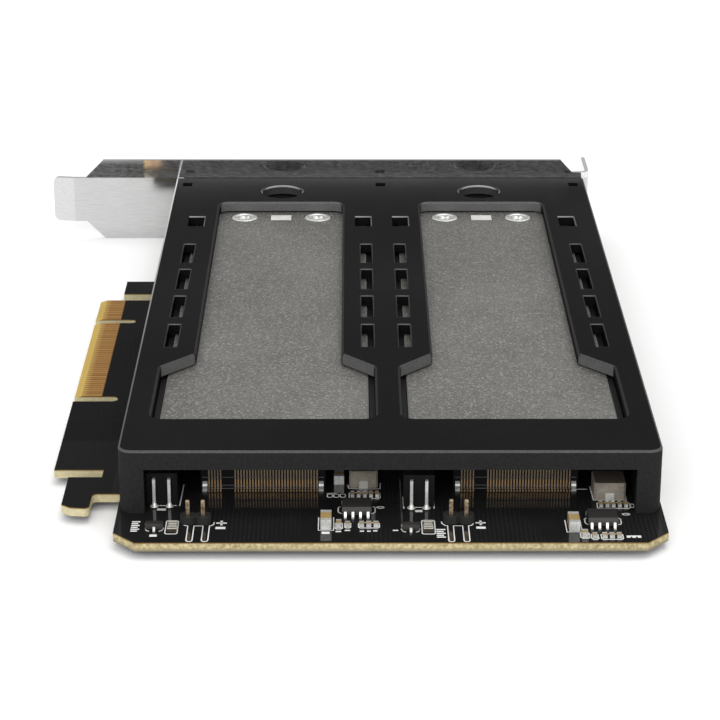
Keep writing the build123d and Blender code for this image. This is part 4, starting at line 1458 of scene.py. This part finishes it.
@dataclass
class RecessedScrews:
    """Screws with a cross recess, standing for the plain ones of the CAD.

    The dish's points are shares of the head's radius with heights, and the dome's are shares of both.
    """

    finishes: Finishes
    recess_share: float = 0.55
    arm_share: float = 0.2
    depth_share: float = 0.75
    point: float = 0.3 * MM
    point_share: float = 0.8
    dish: tuple[Point, ...] = (
        (1.0, -0.1 * MM), (0.95, 0.0), (0.76, 0.0), (0.66, -0.14 * MM), (0.3, -0.2 * MM), (0.0, -0.2 * MM),
    )
    dome: tuple[Point, ...] = ((1.0, -0.35), (0.93, -0.12), (0.75, 0.0), (0.0, 0.0))
    lid_head: float = 1.3 * MM
    bracket_head: float = 0.8 * MM
    cage_radius: float = 2.4 * MM
    lid_shank: float = 1.2 * MM
    bracket_shank: float = 0.9 * MM
    cage_shank: float = 1.1 * MM
    lid_turn: float = 0.6

    def _pattern(self, radius: float, height: float, shank: float, length: float, dished: bool) -> Thing:
        """One screw about Z, with the top of its head at Z = 0.

        Args:
            radius: The head's radius.
            height: The head's height.
            shank: The shank's radius.
            length: From the top of the head to the point.
            dished: Whether the head sinks to its middle inside a rim, or is domed.

        Returns:
            The pattern screw.
        """
        if dished:
            top = [(radius * share, rise) for share, rise in self.dish]
        else:
            top = [(radius * share, height * rise) for share, rise in self.dome]
        end = [(0, -length), (shank * self.point_share, -length), (shank, self.point - length)]
        profile = [*end, (shank, -height), (radius, -height), *top]
        screw = new_object("screw_pattern", lathe("screw_pattern", profile))
        mesh = cross_cutter(radius * self.recess_share, radius * self.arm_share, height * self.depth_share)
        cutter = new_object("cutter", mesh)
        cut = screw.modifiers.new("recess", "BOOLEAN")
        cut.operation, cut.solver, cut.object = "DIFFERENCE", "EXACT", cutter
        flatten(screw)
        bpy.data.objects.remove(cutter)
        return screw

    def _place(
        self, node: str, body: Body, pattern: Thing, tops: Sequence[Place], turn: Place, material: Material,
    ) -> None:
        """Copy a pattern screw to its places and fix the result.

        Args:
            node: The CAD node that the screws stand for.
            body: The body that they ride on.
            pattern: The pattern screw, which is removed.
            tops: The places of the heads' tops.
            turn: The turn from +Z, as Euler angles.
            material: The screws' finish.
        """
        thing = copy_pattern(f"{node}_recessed", pattern, tops, turn, material)
        finish_piece(thing, body, "screw_steel", node)

    def build(self) -> None:
        """Make the lid, bracket and cage screws."""
        for side in Side:
            node = side.node("lid_screws")
            low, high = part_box(node)
            radius = (high.y - low.y) / 2
            tops = [(x, (low.y + high.y) / 2, high.z) for x in (low.x + radius, high.x - radius)]
            pattern = self._pattern(radius, self.lid_head, self.lid_shank, high.z - low.z, True)
            self._place(node, side.tray, pattern, tops, (0, 0, self.lid_turn), self.finishes.bright)
        low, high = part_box("bracket_screws")
        radius = (high.z - low.z) / 2
        tops = [(x, high.y, (low.z + high.z) / 2) for x in (low.x + radius, high.x - radius)]
        pattern = self._pattern(radius, self.bracket_head, self.bracket_shank, high.y - low.y, False)
        turn = (-math.pi / 2, 0, 0)
        self._place("bracket_screws", Body.CARD, pattern, tops, turn, self.finishes.zinc)
        low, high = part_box("cage_screws")
        board_low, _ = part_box("circuit_board")
        radius = self.cage_radius
        across, along = (low.x + radius, high.x - radius), (low.y + radius, high.y - radius)
        tops = [(x, y, low.z) for x in across for y in along]
        pattern = self._pattern(radius, board_low.z - low.z, self.cage_shank, high.z - low.z, False)
        self._place("cage_screws", Body.CARD, pattern, tops, (math.pi, 0, 0), self.finishes.zinc)


@dataclass
class Solder:
    """Solder fillets round the pins and leads that go through the board.

    The slope's points are shares of a fillet's radius and height.
    """

    finishes: Finishes
    radius: float = 0.75 * MM
    height: float = 0.7 * MM
    sink: float = 0.02 * MM
    lead_half: float = 0.25 * MM
    pin_half: float = 0.32 * MM
    steps: int = 20
    slope: tuple[Point, ...] = ((0.96, 0.08), (0.66, 0.3), (0.48, 0.65), (0.4, 1.0), (0.0, 1.02))

    def _spots(self, node: str, half: float) -> list[Point]:
        """Where the two pins of both bays' copies of a node stand.

        Args:
            node: The node's name in a bay.
            half: Half a pin's width.

        Returns:
            The pins' middles.
        """
        spots = []
        for side in Side:
            low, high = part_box(side.node(node))
            spots += [(x, low.y + half) for x in (low.x + half, high.x - half)]
        return spots

    def build(self) -> None:
        """Make the fillets above and below the board."""
        low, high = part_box("circuit_board")
        leads, pins = self._spots("socket_leads", self.lead_half), self._spots("header_pins", self.pin_half)
        r, h = self.radius, self.height
        profile = [(0, -self.sink), (r, -self.sink), *((r * wide, h * tall) for wide, tall in self.slope)]
        parts = (
            ("solder_above", [(*spot, high.z) for spot in leads], (0, 0, 0)),
            ("solder_below", [(*spot, low.z) for spot in (*leads, *pins)], (math.pi, 0, 0)),
        )
        for name, places, turn in parts:
            pattern = new_object("fillet_pattern", lathe("fillet_pattern", profile, self.steps))
            thing = copy_pattern(name, pattern, places, turn, self.finishes.tin)
            thing.data.shade_smooth()
            finish_piece(thing, Body.CARD, "tin")


@dataclass(frozen=True)
class BayMarks:
    """Printed lines of one bay, in millimetres from the bay's middle and the board's near edge.

    A box is two corners, a level bar two ends and its place along the board, and a post its place
    across and two ends.
    """

    side: Side
    outlines: tuple[tuple[Point, ...], ...]
    boxes: tuple[tuple[float, float, float, float], ...]
    bars: tuple[tuple[float, float, float], ...]
    posts: tuple[tuple[float, float, float], ...]


def loop(x: float, width: float, low: float, top: float = 6.3) -> tuple[Point, ...]:
    """A narrow loop that hangs from a line: down, round and up again.

    Args:
        x: Its middle.
        width: Its width.
        low: How far it reaches.
        top: Where it starts.

    Returns:
        Its points.
    """
    half = width / 2
    angles = (0.0, 0.6, 1.2, 1.94, 2.54, math.pi)
    turn = [(x - half * math.cos(a), low + half - half * math.sin(a)) for a in angles]
    return ((x - half, top), *turn, (x + half, top))


def text_rows(
    x: float, y: float, width: float, count: int, pitch: float = 0.7, shorter: float = 0.3,
) -> tuple[tuple[float, float, float], ...]:
    """Bars that stand for rows of print, every second one a little shorter.

    Args:
        x: Where the rows start.
        y: The first row's place.
        width: Its width.
        count: How many rows there are.
        pitch: From row to row.
        shorter: How much shorter every second row is.

    Returns:
        The bars.
    """
    return tuple((x, x + width - shorter * (i % 2), y - pitch * i) for i in range(count))


LEFT_MARKS = BayMarks(
    side=Side.LEFT,
    outlines=(
        (
            (-13.0, 7.9), (-12.85, 6.8), (-12.45, 6.45), *loop(-11.5, 1.0, 0.45),
            *loop(-8.95, 1.05, 0.45), (-8.1, 6.45), (-7.75, 6.9), (-7.7, 7.7),
        ),
        ((-18.98, 5.6), (-18.8, 4.6), (-18.3, 4.3)),
        ((-16.7, 4.3), (-16.2, 4.6), (-16.0, 5.6)),
        ((14.5, 22.4), (14.65, 21.0), (16.5, 20.75), (20.0, 20.75), (20.1, 23.2)),
        ((13.25, 13.7), (12.9, 13.3), (12.9, 11.6), (13.3, 11.1), (13.8, 11.0)),
        ((18.3, 11.0), (18.8, 11.1), (19.1, 11.6), (19.1, 13.3), (18.8, 13.7)),
        ((9.65, 9.5), (9.65, 4.6), (12.15, 4.6), (12.15, 9.5)),
        ((-18.65, 14.2), (-14.4, 14.2)),
        ((-13.9, 14.0), (-13.7, 22.5)),
        ((10.9, 18.9), (12.4, 19.1)),
    ),
    boxes=(
        (-15.65, 3.3, -13.65, 8.3), (12.4, 5.1, 13.6, 7.5), (14.0, 5.5, 15.0, 7.5),
        (16.3, 5.5, 19.75, 7.5), (11.0, 17.4, 11.9, 18.7), (12.1, 17.4, 13.0, 18.7),
        (13.2, 17.4, 14.1, 18.7), (14.75, 16.95, 20.0, 19.25), (19.4, 13.1, 20.6, 13.7),
    ),
    bars=(
        (-7.35, -5.6, 7.4), (-7.4, -5.75, 5.75), (-7.4, -5.75, 5.35), (-17.6, -16.1, 12.85),
        (-17.6, -16.1, 12.5), (-18.1, -16.9, 2.9), (-18.1, -16.9, 2.5), (12.5, 13.4, 4.2),
        (14.0, 14.9, 4.6), (16.5, 17.2, 4.3), (17.7, 18.3, 4.3), (18.7, 19.4, 4.4),
        (10.2, 11.5, 3.9), (10.2, 11.5, 3.5), *text_rows(-21.4, 7.9, 1.4, 6),
    ),
    posts=((-6.48, 6.55, 8.25),),
)
RIGHT_MARKS = BayMarks(
    side=Side.RIGHT,
    outlines=(
        (
            (-13.15, 7.9), (-13.1, 7.2), (-12.6, 6.45), *loop(-11.7, 0.95, 0.35),
            *loop(-9.2, 0.95, 0.35), (-8.3, 6.4), (-7.95, 6.9), (-7.9, 7.7),
        ),
        ((-19.9, 5.2), (-19.6, 4.2), (-19.1, 3.95)),
        ((-17.5, 3.95), (-17.0, 4.2), (-16.8, 5.2)),
        ((12.85, 21.8), (12.95, 16.2), (18.5, 16.2), (18.55, 19.0)),
        ((11.05, 9.2), (10.75, 8.8), (10.75, 7.3), (11.1, 6.75), (11.5, 6.7)),
        ((16.1, 6.7), (16.6, 6.8), (16.75, 7.3), (16.75, 8.8), (16.5, 9.2)),
        ((7.45, 8.4), (7.45, 3.9), (9.95, 3.9), (9.95, 8.4)),
        ((-19.3, 12.9), (-19.35, 17.6)),
        ((-14.2, 12.9), (-14.15, 17.6)),
        ((-18.2, 13.4), (-15.3, 13.4)),
        ((10.0, 20.6), (12.3, 20.6)),
    ),
    boxes=(
        (-16.45, 3.2, -14.3, 8.4), (9.6, 1.6, 11.05, 3.7), (11.35, 1.2, 12.45, 3.2),
        (12.95, 1.2, 16.5, 3.2), (13.4, 12.95, 18.9, 15.2), (19.0, 13.3, 19.6, 14.7),
        (17.3, 10.4, 18.5, 11.0),
    ),
    bars=(
        (-7.5, -5.8, 7.45), (-7.45, -5.9, 5.8), (-7.45, -5.9, 5.4), (-17.4, -16.2, 12.2),
        (-17.4, -16.2, 11.8), (17.1, 17.7, 2.0), (18.0, 18.6, 2.0), (18.9, 19.5, 2.0),
        (17.1, 19.5, 2.4), (-21.3, -20.4, 4.6), *text_rows(-14.1, 4.9, 1.5, 5),
    ),
    posts=((-6.65, 6.6, 8.25),),
)


@dataclass
class BoardPrint:
    """White printed lines on the board: outlines round parts, plus signs and plain bars."""

    finishes: Finishes
    width: float = 0.21 * MM
    bar_width: float = 0.4 * MM
    thickness: float = 0.03 * MM
    corner: float = 0.25

    def _put(self, side: Side, points: Iterable[Point]) -> list[Place]:
        """Take a line's points to the card's frame.

        Args:
            side: The bay that the line belongs to.
            points: The points, as the bay's marks have them.

        Returns:
            Their places on the board.
        """
        low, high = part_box("circuit_board")
        middle = side.middle
        return [(middle + x * MM, low.y + y * MM, high.z) for x, y in points]

    def _cut_box(self, x0: float, y0: float, x1: float, y1: float) -> list[Point]:
        """The points of a box with its corners cut.

        Args:
            x0: Its left side.
            y0: Its near side.
            x1: Its right side.
            y1: Its far side.

        Returns:
            The points.
        """
        a0, a1, b0, b1 = x0 + self.corner, x1 - self.corner, y0 + self.corner, y1 - self.corner
        return [(a0, y0), (a1, y0), (x1, b0), (x1, b1), (a1, y1), (a0, y1), (x0, b1), (x0, b0)]

    def build(self) -> None:
        """Make the thin lines, the closed boxes and the bars as one piece each."""
        lines, boxes, bars = [], [], []
        for marks in (LEFT_MARKS, RIGHT_MARKS):
            lines += [self._put(marks.side, outline) for outline in marks.outlines]
            boxes += [self._put(marks.side, self._cut_box(*box)) for box in marks.boxes]
            bars += [self._put(marks.side, ((x0, y), (x1, y))) for x0, x1, y in marks.bars]
            bars += [self._put(marks.side, ((x, y0), (x, y1))) for x, y0, y1 in marks.posts]
        parts = (
            ("board_print_lines", lines, False, self.width),
            ("board_print_boxes", boxes, True, self.width),
            ("board_print_bars", bars, False, self.bar_width),
        )
        for name, drawn, closed, width in parts:
            mesh = lines_mesh(name, drawn, closed)
            ink = self.finishes.ink
            strip = grow(name, mesh, repeats.ribbons, Width=width, Thickness=self.thickness, Material=ink)
            finish_piece(strip, Body.CARD, "board_black")


@dataclass
class CageTrim:
    """Thin moulded rims round the cage's vents and round holes, lighter than the cage as painted highlights.

    A rim's sink is the share of its radius that its middle lies below the roof.
    """

    vent_rim: float = 0.2 * MM
    hole_rim: float = 0.3 * MM
    vent_sink: float = 0.8
    hole_sink: float = 0.75
    vent_size: Point = (2.5 * MM, 12.0 * MM)
    small_vent_size: Point = (3.5 * MM, 6.6 * MM)
    pitch: float = 15.35 * MM
    count: int = 4
    first: float = 50.7 * MM
    small_offset: float = 30.3 * MM
    wall_gap: float = 0.15 * MM
    bay_half: float = 19.575 * MM
    hole_radius: float = 4.6 * MM
    hole_offset: float = 10.0 * MM
    steps: int = 24

    def _vents(self, high: Vector, size: Point, offsets: Iterable[float], skip: int) -> list[list[Place]]:
        """The outlines of the vents of one size.

        Args:
            high: The cage's upper corner.
            size: A vent's width and length.
            offsets: How far the vents' middles are from the cage's far end.
            skip: How many corners are left out, from the near left one on.

        Returns:
            The corners of each vent.
        """
        half_wide, half_long = size[0] / 2, size[1] / 2
        reach = self.bay_half - self.wall_gap - half_wide
        middles = [side.middle + way * reach for side in Side for way in (-1, 1)]
        corners = ((-1, -1), (1, -1), (1, 1), (-1, 1))[skip:]
        z = high.z - self.vent_rim * self.vent_sink
        spots = [(x, high.y - offset) for x in middles for offset in offsets]
        return [[(x + a * half_wide, y + b * half_long, z) for a, b in corners] for x, y in spots]

    def _holes(self, high: Vector) -> list[list[Place]]:
        """The far halves of the round holes' outlines.

        Args:
            high: The cage's upper corner.

        Returns:
            The points of each hole.
        """
        turns = [math.pi * i / self.steps for i in range(self.steps + 1)]
        y, z, r = high.y - self.hole_offset, high.z - self.hole_rim * self.hole_sink, self.hole_radius
        return [[(side.middle + r * math.cos(t), y + r * math.sin(t), z) for t in turns] for side in Side]

    def build(self) -> None:
        """Make the rims of the long vents, the small vents and the holes as one piece each."""
        _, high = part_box("drive_cage")
        # The rims' colours are painted highlights: lighter than the cage, palest where a rim faces the near
        # side.
        dull = PaintedHighlightRim("vent_rim_worn_black", (0.02, 0.02, 0.02), (0.2, 0.2, 0.197)).build()
        lit_hole_rim = PaintedHighlightRim("hole_rim_worn_black", (0.05, 0.05, 0.05), (0.45, 0.45, 0.44)).build()
        pale = PaintedHighlightRim("small_vent_rim_worn_black", (0.09, 0.09, 0.09), (0.4, 0.4, 0.39)).build()
        offsets = [self.first + i * self.pitch for i in range(self.count)]
        long = self._vents(high, self.vent_size, offsets, 0)
        small = self._vents(high, self.small_vent_size, [self.small_offset], 1)
        parts = (
            ("vent_rims", long, True, self.vent_rim, dull),
            ("small_vent_rims", small, False, self.vent_rim, pale),
            ("round_hole_rims", self._holes(high), False, self.hole_rim, lit_hole_rim),
        )
        for name, lines, closed, radius, material in parts:
            mesh = lines_mesh(name, lines, closed)
            rim = grow(name, mesh, repeats.rims, Radius=radius, Material=material)
            finish_piece(rim, Body.CARD, "cage_black")


@dataclass
class ConnectorBars:
    """Thin grey bars of the connectors' housings that cross the contact tails."""

    heights: tuple[float, ...] = (0.12 * MM, 0.72 * MM, 2.2 * MM)
    radius: float = 0.07 * MM
    inset: float = 0.3 * MM
    before: float = 0.24 * MM

    def build(self) -> None:
        """Make the bars of both connectors as one piece."""
        _, board_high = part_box("circuit_board")
        lines = []
        for side in Side:
            low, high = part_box(side.node("drive_connector"))
            ends = (low.x + self.inset, high.x - self.inset)
            y = low.y - self.before
            lines += [[(x, y, board_high.z + height) for x in ends] for height in self.heights]
        finish = MouldedBlack("connector_bar_grey", (0.09, 0.088, 0.085), (0.1, 0.1, 0.1), 0.4, shine=0.4)
        mesh = lines_mesh("connector_bars", lines)
        bars = grow("connector_bars", mesh, repeats.rims, Radius=self.radius, Material=finish.build())
        finish_piece(bars, Body.CARD, "connector_black")


@dataclass(frozen=True)
class Sun:
    """A broad soft sun: its turns about X and Y and its spread in degrees, and its strength."""

    name: str
    tilt: float
    turn: float
    strength: float
    spread: float


@dataclass
class Studio:
    """The floor, the light and the camera."""

    camera_place: Place = (0.006583, -0.437492, 0.176746)
    pitch: float = 21.954
    yaw: float = 0.246
    roll: float = 0.07
    focal_pixels: float = 2391.942
    frame_pixels: float = 720.0
    sky: float = 0.82
    floor_reach: float = 8.0
    floor_grain: Range = (30.0, 2.0)
    floor_whites: tuple[Colour, Colour] = ((0.975, 0.975, 0.975), (0.985, 0.985, 0.985))
    floor_rough: float = 0.9
    suns: tuple[Sun, ...] = (Sun("overhead", -8.0, 10.0, 0.6, 35.0), Sun("front", 58.0, -12.0, 1.2, 45.0))

    def _floor(self) -> None:
        """A white floor level with what the card rests on."""
        low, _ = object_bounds()
        reach = self.floor_reach
        corners = ((-reach, -reach), (reach, -reach), (reach, reach), (-reach, reach))
        mesh = bpy.data.meshes.new("floor")
        mesh.from_pydata([(*corner, low[2]) for corner in corners], [], [(0, 1, 2, 3)])
        floor = new_object("floor", mesh)
        look = Look("floor_white")
        _, blotch = look.use(effects.grain, *self.floor_grain)
        white = look.blend(blotch, *self.floor_whites)
        look.shade(Base_Color=white, Roughness=self.floor_rough, Specular_IOR_Level=0.0)
        floor.data.materials.append(look.material)
        floor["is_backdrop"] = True

    def _world(self) -> None:
        """A soft even sky that shows white to the camera and in reflections."""
        world = bpy.data.worlds.new("studio")
        world.use_nodes = True
        bpy.context.scene.world = world
        world.node_tree.nodes.clear()
        graph = Graph(world.node_tree)
        path = graph.add("ShaderNodeLightPath").outputs
        seen = graph.calc("MAXIMUM", path["Is Camera Ray"], path["Is Glossy Ray"])
        seen = graph.calc("MAXIMUM", seen, path["Is Transmission Ray"])
        white = (1.0, 1.0, 1.0)
        light = graph.add("ShaderNodeBackground", {"Color": white, "Strength": self.sky})
        show = graph.add("ShaderNodeBackground", {"Color": white, "Strength": 1.0})
        mixed = graph.add("ShaderNodeMixShader", {0: seen, 1: light.outputs[0], 2: show.outputs[0]})
        graph.add("ShaderNodeOutputWorld", {"Surface": mixed.outputs[0]})

    def _lamps(self) -> None:
        """Two broad soft suns, one from above and behind and one from the front."""
        for sun in self.suns:
            lamp = bpy.data.lights.new(sun.name, "SUN")
            lamp.energy = sun.strength
            lamp.angle = math.radians(sun.spread)
            new_object(sun.name, lamp).rotation_euler = (math.radians(sun.tilt), math.radians(sun.turn), 0)

    def _camera(self) -> None:
        """The photograph's camera, found from the card's standard sizes."""
        pitch, yaw, roll = (math.radians(angle) for angle in (self.pitch, self.yaw, self.roll))
        level = math.cos(pitch)
        forward = Vector((math.sin(yaw) * level, math.cos(yaw) * level, -math.sin(pitch)))
        right = Vector((math.cos(yaw), -math.sin(yaw), 0))
        up = right.cross(forward)
        turned_right = right * math.cos(roll) + up * math.sin(roll)
        turned_up = up * math.cos(roll) - right * math.sin(roll)
        data = bpy.data.cameras.new("camera")
        data.sensor_width = 36.0
        data.lens = self.focal_pixels / self.frame_pixels * data.sensor_width
        data.clip_start = 0.01
        camera = new_object("camera", data)
        axes = Matrix((turned_right, turned_up, -forward)).transposed()
        camera.matrix_world = Matrix.Translation(self.camera_place) @ axes.to_4x4()
        bpy.context.scene.camera = camera

    def build(self) -> None:
        """Set up the studio."""
        self._floor()
        self._world()
        self._lamps()
        self._camera()
        bpy.context.scene.view_settings.view_transform = "Standard"


def main() -> None:
    """Dress the card and set up the studio."""
    logging.basicConfig(level=logging.INFO, format="%(name)s: %(message)s")
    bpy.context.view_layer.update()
    finishes = Finishes()
    finishes.dress_nodes()
    RecessedScrews(finishes).build()
    Solder(finishes).build()
    BoardPrint(finishes).build()
    CageTrim().build()
    ConnectorBars().build()
    Studio().build()


if __name__ == "__main__":
    main()
